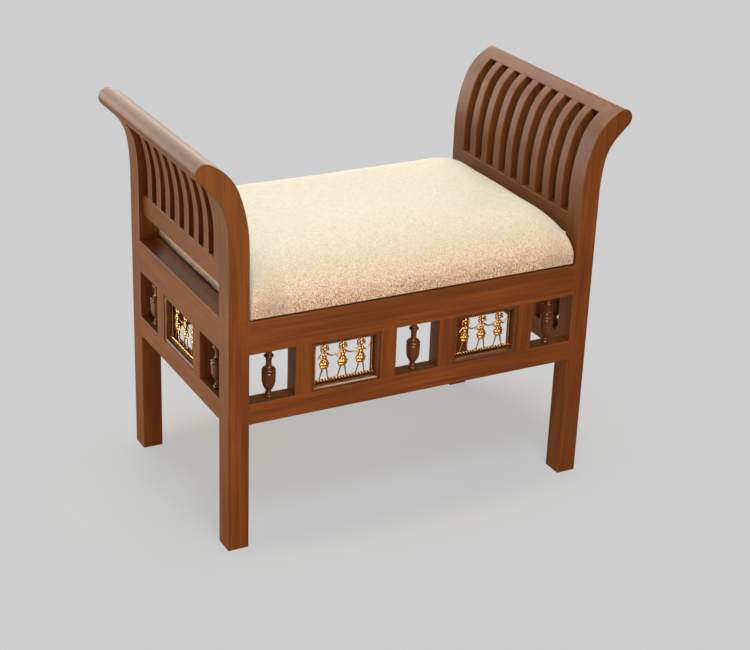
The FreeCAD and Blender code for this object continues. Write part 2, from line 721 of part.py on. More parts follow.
def corner_block():
    """The block in the corner between two seat rails and a post, with its two screw holes."""
    body = doc.addObject("PartDesign::Body", "corner_block")
    sketch = sketch_in(body, "XY_Plane")
    corners = [("post_face_x", "rail_face_y"), ("post_face_x", "post_face_y"), ("rail_face_x", "post_face_y"),
               ("rail_face_x", "block_reach_y"), ("post_face_x - block_leg", "rail_face_y")]
    points = [Vector(number(x), number(y), 0) for x, y in corners]
    lines = [Part.LineSegment(start, end) for start, end in zip(points, points[1:] + points[:1])]
    edges = sketch.addGeometry(lines, False)
    for edge, after, (x, y) in zip(edges, edges[1:] + edges[:1], corners[1:] + corners[:1]):
        tie(sketch, "Coincident", edge, END, after, START)
        pin_point(sketch, edge, END, x, y)
    padded(body, sketch, "block_tall", both_ways=False)
    place(body, z="block_bottom")
    holes = [bolt_rod("block_bolt_hole", "fit_gap"), seat_rod("block_seat_hole", "fit_gap")]
    return cut("corner_block_drilled", body, holes)


BOLT_TURN = Rotation(Vector(0, 0, 1), -QUARTER / 2) * Rotation(Vector(0, 1, 0), QUARTER)


def bolt_rod(name, gap="0"):
    """Shank of the bolt from the block's long face through the corner into the post."""
    return rod(name, f"screw_dia + 2 * ({gap})", f"bolt_seat * sqrt(2) + bolt_bite + {gap}",
               "post_face_x - bolt_seat", "post_face_y + bolt_seat", "seat_top - block_tall / 2", BOLT_TURN)


def seat_rod(name, gap="0"):
    """Shank of the screw up through the block into the seat board."""
    return rod(name, f"screw_dia + 2 * ({gap})", f"block_tall + cover_thick + seat_screw_bite + {gap}",
               "post_face_x - seat_screw_run", "rail_face_y + seat_screw_in", "block_bottom")


def four_corners(name, thing):
    """A piece of the front right corner and its mirror images in the other three."""
    images = [thing]
    for normal in (Vector(1, 0, 0), Vector(0, 1, 0)):
        for source in list(images):
            image = doc.addObject("Part::Mirroring", name + "_image")
            image.Source = source
            image.Normal = normal
            images.append(image)
    return grouped(name, images)


def screws():
    """Bolts through the corner blocks into the posts, and screws up into the seat board."""
    head = rod("bolt_head", "screw_head", "screw_cap", "post_face_x - bolt_seat - screw_cap / sqrt(2)",
               "post_face_y + bolt_seat + screw_cap / sqrt(2)", "seat_top - block_tall / 2", BOLT_TURN)
    bolt = joined("corner_bolt", [bolt_rod("bolt_shank"), head])
    node("corner_block_bolts", four_corners("corner_block_bolts", bolt))
    cap = rod("seat_screw_head", "screw_head", "screw_cap", "post_face_x - seat_screw_run",
              "rail_face_y + seat_screw_in", "block_bottom - screw_cap")
    screw = joined("seat_screw", [seat_rod("seat_screw_shank"), cap])
    node("seat_screws", four_corners("seat_screws", screw))


# Seat pad: cover, foam and board


def pad_ring(level, inset, bow, corner, shrink, end_share=1):
    """Closed outline of the pad at one height: four bowed sides and four rounded corners."""
    half_x = number("pad_long") / 2 - inset * end_share - shrink
    half_y = number("leg_depth") / 2 - inset - shrink
    radius = corner - shrink
    edges = []
    for turn in range(4):
        run, reach = (half_x, half_y) if turn % 2 == 0 else (half_y, half_x)
        lean = radius * (1 - math.sqrt(0.5))
        points = [Vector(radius - run, -reach, level), Vector(0, -reach - bow, level),
                  Vector(run - radius, -reach, level), Vector(run - lean, lean - reach, level),
                  Vector(run, radius - reach, level)]
        spin = Rotation(Vector(0, 0, 1), QUARTER * turn)
        side_low, side_mid, side_high, corner_mid, corner_high = [spin.multVec(point) for point in points]
        edge = Part.Arc(side_low, side_mid, side_high) if bow else Part.LineSegment(side_low, side_high)
        edges.append(edge.toShape())
        edges.append(Part.Arc(side_high, corner_mid, corner_high).toShape())
    return Part.Wire(edges)


CROWN_ANGLES = (8, 16, 25, 34, 43, 52, 61, 70, 78, 85)
CROWN_CORNER_SHARE = 0.86
CROWN_END_SHARE = 0.64


def pad_form(base, shrink):
    """The pad from a height up: upright at the foot, then one long roll into the crown, shorter at the ends."""
    seat, tall, draw = number("seat_top"), number("pad_tall"), number("pad_draw")
    shoulder, bow, corner = number("pad_shoulder"), number("pad_bow"), number("pad_corner")
    run, power = number("crown_run"), 2 / number("crown_fullness")
    foot_share = 1 - (base - seat) / shoulder
    rings = [pad_ring(base, draw * foot_share, bow * (1 - foot_share), corner, shrink),
             pad_ring(seat + shoulder, 0, bow, corner, shrink)]
    for angle in CROWN_ANGLES:
        turn = math.radians(angle)
        inset = run * (1 - math.cos(turn) ** power)
        rise = (tall - shoulder - shrink) * math.sin(turn) ** power
        crown_corner = corner + CROWN_CORNER_SHARE * inset
        rings.append(pad_ring(seat + shoulder + rise, inset, bow, crown_corner, shrink, CROWN_END_SHARE))
    return Part.makeLoft(rings, True, True)


def solid_node(label, shape):
    """A piece whose shape is worked out here from the sheet."""
    feature = doc.addObject("Part::Feature", label)
    feature.Shape = shape
    return node(label, feature)


def seat_pad():
    """Plywood board, foam on it, and the fabric cover that is drawn over both and turned in underneath."""
    seat, thick, clear = number("seat_top"), number("cover_thick"), number("pad_clear")
    hem, board_top = number("cover_hem"), number("board_top")
    half_x, half_y = number("pad_long / 2") - hem, number("leg_depth / 2") - hem
    mouth = Part.makeBox(2 * half_x, 2 * half_y, 2 * thick, Vector(-half_x, -half_y, seat - thick))
    cavity = pad_form(seat + thick, thick)
    solid_node("seat_cover", pad_form(seat, 0).cut(cavity).cut(mouth))
    solid_node("seat_foam", pad_form(board_top, thick + clear))
    rim = pad_ring(seat + thick, number("pad_draw"), 0, number("pad_corner"), thick + clear)
    board = doc.addObject("Part::Feature", "seat_board_blank")
    board.Shape = Part.Face(rim).extrude(Vector(0, 0, number("board_thick")))
    holes = four_corners("seat_board_holes", seat_rod("seat_board_hole", "fit_gap"))
    node("seat_board", cut("seat_board", board, [holes]))


def bench():
    """The whole bench, side by side and corner by corner."""
    front_panels = ("-front_pitch / 2", "front_pitch / 2")
    front_balusters = ("-front_pitch", "0", "front_pitch")
    side_balusters = ("-side_pitch", "side_pitch")
    mortises, pins = {}, []
    bolt_holes = four_corners("bolt_holes", bolt_rod("bolt_hole", "fit_gap"))
    for side in SIDES:
        if side in ("front", "back"):
            sockets, side_pins = gallery(side, "front_panel_wide", front_panels, front_balusters)
            seat_rail_deep, seat_rail_cuts = "rail_thick", sockets
        else:
            sockets, side_pins = gallery(side, "side_panel_wide", ("0",), side_balusters)
            seat_rail_deep, seat_rail_cuts = "side_seat_rail_deep", sockets + [bolt_holes]
        pins += side_pins
        lower = rail(f"{side}_lower_rail", side, ("0", "rail_thick"), MID_RAIL, LOW_RAIL, sockets)
        upper = rail(f"{side}_seat_rail", side, ("0", seat_rail_deep), MID_RAIL, SEAT_RAIL, seat_rail_cuts)
        mortises[side] = [lower, upper]
    node("panel_pins", grouped("panel_pins", pins))
    for side in ("right", "left"):
        arm_mortises = arm(side)
        for end, along in (("front", -1), ("back", 1)):
            tools = mortises[end] + mortises[side] + arm_mortises + [bolt_holes]
            post(f"{end}_{side}_post", side, along, tools)
    node("corner_blocks", four_corners("corner_blocks", corner_block()))
    screws()
    seat_pad()


def check():
    """Stops if any object of the document failed, or a finished piece is empty or broken."""
    for thing in doc.Objects:
        if "Invalid" in thing.State or "Error" in thing.State:
            raise RuntimeError(f"{thing.Label} failed: {thing.State}")
    for label, thing in nodes.items():
        if thing.Shape.isNull() or not thing.Shape.isValid() or not thing.Shape.Solids:
            raise RuntimeError(f"{label} has no sound shape")


bench()
doc.removeObject(reckoner.Name)
doc.recompute()
check()
os.makedirs("parts", exist_ok=True)
for label, thing in nodes.items():
    thing.Shape.exportStep(f"parts/{label}.step")
box = Part.makeCompound([thing.Shape for thing in nodes.values()]).BoundBox
print(f"{len(nodes)} nodes, {box.XLength:.1f} x {box.YLength:.1f} x {box.ZLength:.1f} mm")
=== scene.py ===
"""Looks of a wooden arm bench: eased lacquered timber, turned balusters, cast brass dancers and a woven seat.

Metres throughout, in the frame of the solids: X along the seat, Y from the front to the back, Z up.
"""
import math

import bmesh
import bpy
from mathutils import Matrix, Vector


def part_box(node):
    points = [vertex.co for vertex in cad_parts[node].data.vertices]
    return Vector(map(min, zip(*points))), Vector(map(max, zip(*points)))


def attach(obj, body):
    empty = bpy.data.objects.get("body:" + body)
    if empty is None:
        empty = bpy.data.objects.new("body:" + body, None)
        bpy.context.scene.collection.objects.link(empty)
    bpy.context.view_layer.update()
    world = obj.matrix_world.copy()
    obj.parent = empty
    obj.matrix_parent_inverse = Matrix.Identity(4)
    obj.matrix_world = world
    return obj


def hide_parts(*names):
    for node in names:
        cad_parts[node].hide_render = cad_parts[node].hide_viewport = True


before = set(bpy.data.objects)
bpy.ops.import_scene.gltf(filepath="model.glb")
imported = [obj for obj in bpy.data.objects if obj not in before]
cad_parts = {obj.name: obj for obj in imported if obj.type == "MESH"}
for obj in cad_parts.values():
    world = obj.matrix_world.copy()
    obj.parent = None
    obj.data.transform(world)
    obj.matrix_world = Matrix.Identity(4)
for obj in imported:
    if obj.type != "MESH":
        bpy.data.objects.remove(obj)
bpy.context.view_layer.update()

MM = 0.001
QUARTER = math.pi / 2

# Faces of the frame, read from the solids
INNER_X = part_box("front_right_post")[0].x
INNER_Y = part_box("back_right_post")[0].y
OUTER_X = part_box("right_seat_rail")[1].x
OUTER_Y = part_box("back_seat_rail")[1].y
GALLERY_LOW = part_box("front_lower_rail")[1].z
GALLERY_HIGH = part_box("front_seat_rail")[0].z
ARM_RAIL_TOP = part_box("left_arm_lower_rail")[1].z

# Sweep of the arms, as in the solids: a heading is the angle that an edge has turned from upright
POST_WIDE = OUTER_X - INNER_X
SWEEP_START = 463.5 * MM
GENTLE_RADIUS, GENTLE_TURN = 244 * MM, 20
SCROLL_RADIUS, NOSE_TURN, TIP_TURN = 82 * MM, 52.8, 66
BACK_GENTLE_RADIUS, BACK_GENTLE_TURN = 300 * MM, 10
BACK_SCROLL_RADIUS, BACK_SCROLL_TURN = 70 * MM, 36
UNDER_TURN = BACK_GENTLE_TURN + BACK_SCROLL_TURN
SLAT_THICK = 24 * MM
SLAT_COUNT = 8
SLAT_WIDE = 17.2 * MM

# Easing of the timber's edges
EASE = 1.1 * MM
EASE_STEPS = 3
TOUCH = 0.06 * MM
RUN_OUT = 1.6 * MM
SHARP = math.radians(35)
ARC_STEP = 3


# Selecting and editing


def only(piece):
    """Selects one piece and nothing else."""
    bpy.ops.object.select_all(action="DESELECT")
    piece.select_set(True)
    bpy.context.view_layer.objects.active = piece
    return piece


def edit(piece, kind="VERT"):
    """Goes into a piece with everything in it selected."""
    only(piece)
    bpy.ops.object.mode_set(mode="EDIT")
    bpy.ops.mesh.select_mode(type=kind)
    bpy.ops.mesh.select_all(action="SELECT")


def leave():
    """Goes back out of the piece."""
    bpy.ops.object.mode_set(mode="OBJECT")


def pick(piece, kind, test):
    """Selects the vertices, edges or faces that pass a test, while in the piece."""
    bpy.ops.mesh.select_mode(type={"verts": "VERT", "edges": "EDGE", "faces": "FACE"}[kind])
    bpy.ops.mesh.select_all(action="DESELECT")
    mesh = bmesh.from_edit_mesh(piece.data)
    mesh.normal_update()
    for part in getattr(mesh, kind):
        if test(part):
            part.select_set(True)
    mesh.select_flush_mode()
    bmesh.update_edit_mesh(piece.data)


def settle(piece, name=None):
    """Puts a piece's place into its mesh and names it."""
    only(piece)
    bpy.ops.object.transform_apply(location=True, rotation=True, scale=True)
    if name:
        piece.name = piece.data.name = name
    return piece


def apply(piece, kind, **settings):
    """Adds a modifier to a piece and applies it."""
    only(piece)
    modifier = piece.modifiers.new(kind.title(), kind)
    for key, value in settings.items():
        setattr(modifier, key, value)
    bpy.ops.object.modifier_apply(modifier=modifier.name)
    return piece


def twin(piece, name, place=None):
    """A copy of a piece with its own mesh, moved by a matrix."""
    copy = bpy.data.objects.new(name, piece.data.copy())
    bpy.context.scene.collection.objects.link(copy)
    if place is not None:
        copy.data.transform(place)
        if place.determinant() < 0:
            copy.data.flip_normals()
    return copy


def joined(pieces, name):
    """Several pieces made one."""
    bpy.ops.object.select_all(action="DESELECT")
    for piece in pieces:
        piece.select_set(True)
    bpy.context.view_layer.objects.active = pieces[0]
    bpy.ops.object.join()
    pieces[0].name = pieces[0].data.name = name
    return pieces[0]


def smooth(piece, degrees=35):
    """Smooth shading that keeps the corners over an angle."""
    only(piece)
    bpy.ops.object.shade_smooth_by_angle(angle=math.radians(degrees))
    return piece


def finish(piece, slot, material, *nodes):
    """Gives a piece its material and its place on the bench, in the stead of the solids that it shows."""
    piece.data.materials.clear()
    piece.data.materials.append(material)
    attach(piece, "root")
    if nodes:
        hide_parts(*nodes)
    return piece


# Outlines


def draw(start, moves):
    """A chain of edges in the XZ plane: straight runs to a point, and turns in degrees about a centre."""
    bpy.ops.object.select_all(action="DESELECT")
    bpy.ops.mesh.primitive_plane_add(size=MM, location=(0, 0, 0))
    piece = bpy.context.active_object
    edit(piece)
    bpy.ops.mesh.merge(type="CENTER")
    bpy.ops.transform.translate(value=(start[0], 0, start[1]))
    here = Vector(start)
    for kind, where, turn in moves:
        where = Vector(where)
        if kind == "run":
            step = where - here
            bpy.ops.mesh.extrude_vertices_move(TRANSFORM_OT_translate={"value": (step.x, 0, step.y)})
            here = where
        else:
            steps = max(2, math.ceil(abs(turn) / ARC_STEP))
            centre = (where.x, 0, where.y)
            bpy.ops.mesh.spin(steps=steps, angle=math.radians(turn), center=centre, axis=(0, -1, 0))
            here = where + Matrix.Rotation(-math.radians(turn), 2) @ (here - where)
    return piece


def run(*where):
    """A straight run of an outline."""
    return "run", where, 0


def turn(centre, degrees):
    """A turn of an outline about a centre, clockwise as seen from the front."""
    return "turn", centre, degrees


def extruded(piece, depth, name):
    """Closes an outline and gives it a depth along Y, about y = 0."""
    bpy.ops.mesh.select_all(action="SELECT")
    bpy.ops.mesh.remove_doubles(threshold=TOUCH)
    bpy.ops.mesh.edge_face_add()
    bpy.ops.transform.translate(value=(0, -depth / 2, 0))
    bpy.ops.mesh.extrude_region_move(TRANSFORM_OT_translate={"value": (0, depth, 0)})
    bpy.ops.mesh.select_all(action="SELECT")
    bpy.ops.mesh.normals_make_consistent(inside=False)
    leave()
    piece.name = piece.data.name = name
    return piece


def at_heading(centre, radius, heading):
    """Point of an arm arc at a heading."""
    angle = math.radians(heading)
    return Vector((centre[0] - radius * math.cos(angle), centre[1] + radius * math.sin(angle)))


def arm_centres():
    """Centres of the arm's scroll, of the curve at its back and of its tip."""
    gentle, back = math.radians(GENTLE_TURN), math.radians(BACK_GENTLE_TURN)
    step, back_step = GENTLE_RADIUS - SCROLL_RADIUS, BACK_GENTLE_RADIUS - BACK_SCROLL_RADIUS
    scroll = Vector((OUTER_X + GENTLE_RADIUS - POST_WIDE - step * math.cos(gentle),
                     SWEEP_START + step * math.sin(gentle)))
    hollow = Vector((OUTER_X + BACK_GENTLE_RADIUS - back_step * math.cos(back),
                     SWEEP_START + back_step * math.sin(back)))
    under, lean = math.radians(UNDER_TURN), math.cos(math.radians(TIP_TURN - UNDER_TURN))
    reach = (scroll - hollow).dot(Vector((math.cos(under), -math.sin(under))))
    radius = (SCROLL_RADIUS * lean - reach - BACK_SCROLL_RADIUS) / (1 + lean)
    return scroll, hollow, at_heading(scroll, SCROLL_RADIUS - radius, TIP_TURN)


SCROLL, HOLLOW, TIP = arm_centres()
GENTLE = Vector((OUTER_X + GENTLE_RADIUS - POST_WIDE, SWEEP_START))


def arm_outline():
    """Outline of a right-hand leg with its curled arm."""
    return draw((INNER_X, 0), [
        run(INNER_X, SWEEP_START),
        turn(GENTLE, GENTLE_TURN),
        turn(SCROLL, TIP_TURN - GENTLE_TURN),
        turn(TIP, 180 + UNDER_TURN - TIP_TURN),
        run(*at_heading(HOLLOW, BACK_SCROLL_RADIUS, UNDER_TURN)),
        turn(HOLLOW, -BACK_SCROLL_TURN),
        turn((OUTER_X + BACK_GENTLE_RADIUS, SWEEP_START), -BACK_GENTLE_TURN),
        run(OUTER_X, 0),
    ])


def nose_direction():
    """Direction of the arm's inner edge where its slats end."""
    angle = math.radians(NOSE_TURN)
    return Vector((math.sin(angle), 0, math.cos(angle)))


def past_nose(place):
    """How far a place is past the end of the slats."""
    return (place - Vector((SCROLL.x, 0, SCROLL.y))).dot(nose_direction())


# Timber: every rail, upright and post, with the box that it fills between its joints


def straight_part(node):
    """Box of a timber without its tenons or the curl of an arm."""
    low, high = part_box(node)
    if node.endswith("_post"):
        low.x, high.x = max(low.x, -OUTER_X), min(high.x, OUTER_X)
        high.z = SWEEP_START
    elif "muntin" in node:
        low.z, high.z = GALLERY_LOW, GALLERY_HIGH
    elif node.startswith(("front", "back")):
        low.x, high.x = -INNER_X, INNER_X
    else:
        low.y, high.y = -INNER_Y, INNER_Y
    return low, high


TIMBERS = {node: straight_part(node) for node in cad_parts
           if "muntin" in node or node.endswith(("_post", "_seat_rail", "_lower_rail"))}


def longest(node):
    """Axis that a timber runs along."""
    low, high = TIMBERS[node]
    size = high - low
    return max(range(3), key=lambda axis: size[axis])


def joint_levels(node):
    """Levels along a timber where those that meet it begin and end, and where its easing has run out."""
    low, high = TIMBERS[node]
    axis, levels = longest(node), set()
    for other, (other_low, other_high) in TIMBERS.items():
        apart = any(low[k] - TOUCH > other_high[k] or other_low[k] - TOUCH > high[k] for k in range(3))
        if other != node and not apart:
            for level in (other_low[axis], other_high[axis]):
                levels.update(round(level + step, 5) for step in (-RUN_OUT, 0, RUN_OUT))
    return sorted(level for level in levels if low[axis] + EASE < level < high[axis] - EASE)


def meets_another(place, node):
    """Whether a place on a timber is against another one."""
    return any(all(low[k] - TOUCH < place[k] < high[k] + TOUCH for k in range(3))
               for other, (low, high) in TIMBERS.items() if other != node)


def crisp(piece):
    """Shading that leaves the flats of a timber flat and rounds only its eased edges."""
    smooth(piece)
    return apply(piece, "WEIGHTED_NORMAL", keep_sharp=True)


def eased(piece, node):
    """Rounds the sharp edges of a timber, but not at its feet or where another timber meets it flush."""
    edit(piece, "EDGE")
    along = Vector([axis == longest(node) for axis in range(3)])
    for level in joint_levels(node):
        bpy.ops.mesh.select_all(action="SELECT")
        bpy.ops.mesh.bisect(plane_co=along * level, plane_no=along)

    def free(edge):
        middle = (edge.verts[0].co + edge.verts[1].co) / 2
        sharp = edge.is_manifold and edge.calc_face_angle() > SHARP
        beside_rail = abs(middle.y) < INNER_Y + TOUCH and past_nose(middle) > -TOUCH
        covered = node.endswith("_post") and beside_rail
        return sharp and middle.z > TOUCH and not covered and not meets_another(middle, node)

    pick(piece, "edges", free)
    bpy.ops.mesh.bevel(offset=EASE, segments=EASE_STEPS, affect="EDGES")
    leave()
    return piece


def timber(node):
    """A straight rail or upright."""
    low, high = TIMBERS[node]
    bpy.ops.object.select_all(action="DESELECT")
    bpy.ops.mesh.primitive_cube_add(size=1, location=(low + high) / 2)
    piece = bpy.context.active_object
    piece.scale = high - low
    settle(piece, node + "_wood")
    return finish(crisp(eased(piece, node)), "frame_wood", WOOD[longest(node)], node)


MIRROR_X = Matrix.Scale(-1, 4, Vector((1, 0, 0)))


def posts():
    """The four legs with their curled arms."""
    deep = OUTER_Y - INNER_Y
    for end, along in (("front", -1), ("back", 1)):
        node = f"{end}_right_post"
        piece = extruded(arm_outline(), deep, node + "_wood")
        piece.data.transform(Matrix.Translation((0, along * (OUTER_Y - deep / 2), 0)))
        eased(piece, node)
        other = twin(piece, f"{end}_left_post_wood", MIRROR_X)
        finish(crisp(piece), "frame_wood", WOOD[2], node)
        finish(crisp(other), "frame_wood", WOOD[2], f"{end}_left_post")


def rounded_corners(piece, keep):
    """Rounds the sharp edges of an arm's piece that a test keeps."""
    edit(piece, "EDGE")
    pick(piece, "edges", lambda edge: edge.is_manifold and edge.calc_face_angle() > SHARP
         and keep((edge.verts[0].co + edge.verts[1].co) / 2))
    bpy.ops.mesh.bevel(offset=EASE, segments=EASE_STEPS, affect="EDGES")
    leave()


def arms():
    """Top rails and slats of both arms."""
    rail = extruded(arm_outline(), 2 * INNER_Y, "right_arm_top_rail_wood")
    edit(rail)
    bpy.ops.mesh.bisect(plane_co=(SCROLL.x, 0, SCROLL.y), plane_no=nose_direction(), use_fill=True,
                        clear_inner=True)
    leave()
    rounded_corners(rail, lambda place: abs(place.y) < INNER_Y - TOUCH)

    thin = SCROLL_RADIUS - SLAT_THICK
    slat = extruded(draw((INNER_X, ARM_RAIL_TOP), [
        run(INNER_X, SWEEP_START),
        turn(GENTLE, GENTLE_TURN),
        turn(SCROLL, NOSE_TURN - GENTLE_TURN),
        run(*at_heading(SCROLL, thin, NOSE_TURN)),
        turn(SCROLL, GENTLE_TURN - NOSE_TURN),
        turn(GENTLE, -GENTLE_TURN),
        run(INNER_X + SLAT_THICK, ARM_RAIL_TOP),
        run(INNER_X, ARM_RAIL_TOP),
    ]), SLAT_WIDE, "right_arm_slats_wood")
    rounded_corners(slat, lambda place: past_nose(place) < -TOUCH and place.z > ARM_RAIL_TOP + TOUCH)
    slot = (2 * INNER_Y - SLAT_COUNT * SLAT_WIDE) / (SLAT_COUNT + 1)
    places = [(index - (SLAT_COUNT - 1) / 2) * (slot + SLAT_WIDE) for index in range(SLAT_COUNT)]
    row = [twin(slat, "slat", Matrix.Translation((0, place, 0))) for place in places]
    bpy.data.objects.remove(slat)
    slats = joined(row, "right_arm_slats_wood")
    for piece, node, grain in ((rail, "arm_top_rail", WOOD[1]), (slats, "arm_slats", WOOD[2])):
        other = twin(piece, f"left_{node}_wood", MIRROR_X)
        finish(crisp(piece), "frame_wood", grain, "right_" + node)
        finish(crisp(other), "frame_wood", grain, "left_" + node)


# Turned balusters

LATHE_STEPS = 48


def lathe(start, moves, name):
    """An outline turned about the Z axis."""
    piece = draw(start, moves)
    bpy.ops.mesh.select_all(action="SELECT")
    bpy.ops.mesh.spin(steps=LATHE_STEPS, angle=2 * math.pi, center=(0, 0, 0), axis=(0, 0, 1))
    bpy.ops.mesh.select_all(action="SELECT")
    bpy.ops.mesh.remove_doubles(threshold=MM / 50)
    bpy.ops.mesh.normals_make_consistent(inside=False)
    leave()
    piece.name = piece.data.name = name
    return smooth(piece, 40)


def ring(radius, low, high):
    """A round bead of a turning, between two heights."""
    middle = ((radius - (high - low) / 2) * MM, (low + high) / 2 * MM)
    return [run(middle[0], low * MM), turn(middle, -180)]


def hollow(radius, low, top_radius, high):
    """A quarter hollow of a turning that draws in as it rises, to an upright edge."""
    sweep = min(radius - top_radius, high - low)
    centre = ((top_radius + sweep) * MM, high * MM)
    return [run((top_radius + sweep) * MM, (high - sweep) * MM), turn(centre, 90)]


def balusters():
    """All the balusters: foot rings, bowl, vase body, shoulder, neck and collar."""
    tall = (GALLERY_HIGH - GALLERY_LOW) / MM
    bowl_run, bowl_rise = 5.7, 16
    bowl_radius = (bowl_run ** 2 + bowl_rise ** 2) / (2 * bowl_run)
    bowl_turn = math.degrees(math.asin(bowl_rise / bowl_radius))
    bowl_top = (9.9, 27.6)
    bowl_centre = ((bowl_top[0] - bowl_radius) * MM, bowl_top[1] * MM)
    pattern = lathe((0, 0), [
        *ring(6.75, 0, 4.6),
        run(4.3 * MM, 4.6 * MM),
        *ring(5.3, 5.2, 8),
        run(3.7 * MM, 8 * MM),
        run(3.7 * MM, 9.6 * MM),
        run((bowl_top[0] - bowl_run) * MM, (bowl_top[1] - bowl_rise) * MM),
        turn(bowl_centre, -bowl_turn),
        run(10.3 * MM, 38.8 * MM),
        run(9.5 * MM, 39.6 * MM),
        run(9.5 * MM, 40.2 * MM),
        *ring(10.3, 40.2, 44.8),
        *hollow(8, 44.8, 4.3, 50.2),
        run(4.1 * MM, 56 * MM),
        run(4.7 * MM, 61.8 * MM),
        *ring(7.25, 62.2, 67),
        run(4.7 * MM, 67.4 * MM),
        run(4.3 * MM, 70 * MM),
        run(5.3 * MM, tall * MM),
        run(0, tall * MM),
    ], "baluster")
    for node in sorted(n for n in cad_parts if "baluster" in n):
        low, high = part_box(node)
        middle = (low + high) / 2
        place = Matrix.Translation((middle.x, middle.y, GALLERY_LOW))
        finish(twin(pattern, node + "_turning", place), "frame_wood", GLOSSY_WOOD[2], node)
    bpy.data.objects.remove(pattern)


# Panels. A panel is made lying: X along its run, Y up, Z out of the bench; z = 0 is the front of its brass.

BRASS_SETBACK = 12 * MM
BEAD_WIDE = 6 * MM
# steps of the bead's face from the opening's edge inwards: how far in, and how far out or back
BEAD_STEPS = [(0.3, 0.4), (3.2, 0.1), (1.7, -1.25), (0.2, -1.8), (0.3, -2.2), (0.3, -0.8)]
BEAD_DEEP = 9.8 * MM
BRASS_BORDER = 11 * MM
BRASS_THICK = 2.5 * MM
BORDER_OVERLAP = 2 * MM
GROUND_STRAND, STRAND = 1.45 * MM, 1.1 * MM
ROPE_INSET, ROPE_PROUD = 1.8 * MM, 0.5 * MM
ROPE_FLATNESS = 0.72
TWIST = 7
PLEAT_DEEP = 0.13
DANCERS = 3
# a hand held out, in millimetres: how far past the next dancer's middle or the opening's edge, and how high
HELD_HAND, LAST_HAND = (-5.4, 38.6), (0.6, 42)
# how bright the brass is kept: on its flat border, where its relief turns from the front (patina and painted
# shade), and in the frame's painted shade
BORDER_POLISH, TURNED_PATINA_AND_SHADE, FRAME_PAINTED_SHADE = 0.2, 0.1, 0.55


def standing(node):
    """Where a panel made lying stands on the bench."""
    low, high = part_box(node)
    middle = (low + high) / 2
    side = ("front", "right", "back", "left").index(node.split("_")[0])
    out = Matrix.Rotation(side * QUARTER, 4, "Z") @ Matrix.Rotation(QUARTER, 4, "X")
    outwards = Vector(round(part) for part in out @ Vector((0, 0, 1)))
    reach = OUTER_X if side % 2 else OUTER_Y
    flat = Vector((0 if outwards.x else middle.x, 0 if outwards.y else middle.y,
                   (GALLERY_LOW + GALLERY_HIGH) / 2))
    return Matrix.Translation(flat + outwards * (reach - BRASS_SETBACK)) @ out


def bead(wide, name):
    """The mitred moulding round a panel: a box whose face is stepped in to a lip, and then opened."""
    tall = GALLERY_HIGH - GALLERY_LOW
    bpy.ops.object.select_all(action="DESELECT")
    bpy.ops.mesh.primitive_cube_add(size=1, location=(0, 0, BEAD_DEEP / 2))
    piece = bpy.context.active_object
    piece.scale = (wide - TOUCH, tall - TOUCH, BEAD_DEEP)
    settle(piece, name)
    edit(piece, "FACE")
    pick(piece, "faces", lambda face: face.normal.z > 0.9)
    for inwards, outwards in BEAD_STEPS:
        bpy.ops.mesh.inset(thickness=inwards * MM, depth=outwards * MM)
    bpy.ops.mesh.delete(type="FACE")
    pick(piece, "faces", lambda face: face.normal.z < -0.9)
    bpy.ops.mesh.inset(thickness=sum(step[0] for step in BEAD_STEPS) * MM, depth=0)
    bpy.ops.mesh.delete(type="FACE")
    pick(piece, "edges", lambda edge: edge.is_boundary)
    bpy.ops.mesh.bridge_edge_loops()
    bpy.ops.mesh.select_all(action="SELECT")
    bpy.ops.mesh.normals_make_consistent(inside=False)
    leave()
    return smooth(piece, 20)


def limb(points, radii):
    """A round limb through points in millimetres, with a radius at each of them."""
    curve = bpy.data.curves.new("limb", "CURVE")
    curve.dimensions = "3D"
    curve.bevel_depth = MM
    curve.bevel_resolution = 2
    curve.resolution_u = 3
    curve.use_fill_caps = True
    spline = curve.splines.new("NURBS")
    spline.points.add(len(points) - 1)
    for knot, (x, y, z), radius in zip(spline.points, points, radii):
        knot.co = (x * MM, y * MM, z * MM, 1)
        knot.radius = radius
    spline.order_u = 3
    spline.use_endpoint_u = True
    piece = bpy.data.objects.new("limb", curve)
    bpy.context.scene.collection.objects.link(piece)
    only(piece)
    bpy.ops.object.convert(target="MESH")
    return bpy.context.active_object


def ball(x, y, z, wide, tall, deep, segments=14, rings=8):
    """A small rounded lump about an upright axis, its half sizes in millimetres."""
    bpy.ops.object.select_all(action="DESELECT")
    bpy.ops.mesh.primitive_uv_sphere_add(segments=segments, ring_count=rings, radius=MM,
                                         location=(x * MM, y * MM, z * MM), rotation=(-QUARTER, 0, 0))
    piece = bpy.context.active_object
    piece.scale = (wide, deep, tall)
    return settle(piece)


def skirt(x, y, z, wide, tall, deep, pleats):
    """A puffed skirt gathered into pleats."""
    piece = ball(x, y, z, wide, tall, deep, pleats * 4, 12)
    for vert in piece.data.vertices:
        angle = math.atan2((vert.co.z - z * MM) / deep, (vert.co.x - x * MM) / wide)
        fold = 1 + PLEAT_DEEP * math.cos(pleats * angle)
        vert.co.x = x * MM + (vert.co.x - x * MM) * fold
        vert.co.z = z * MM + (vert.co.z - z * MM) * fold
    return piece


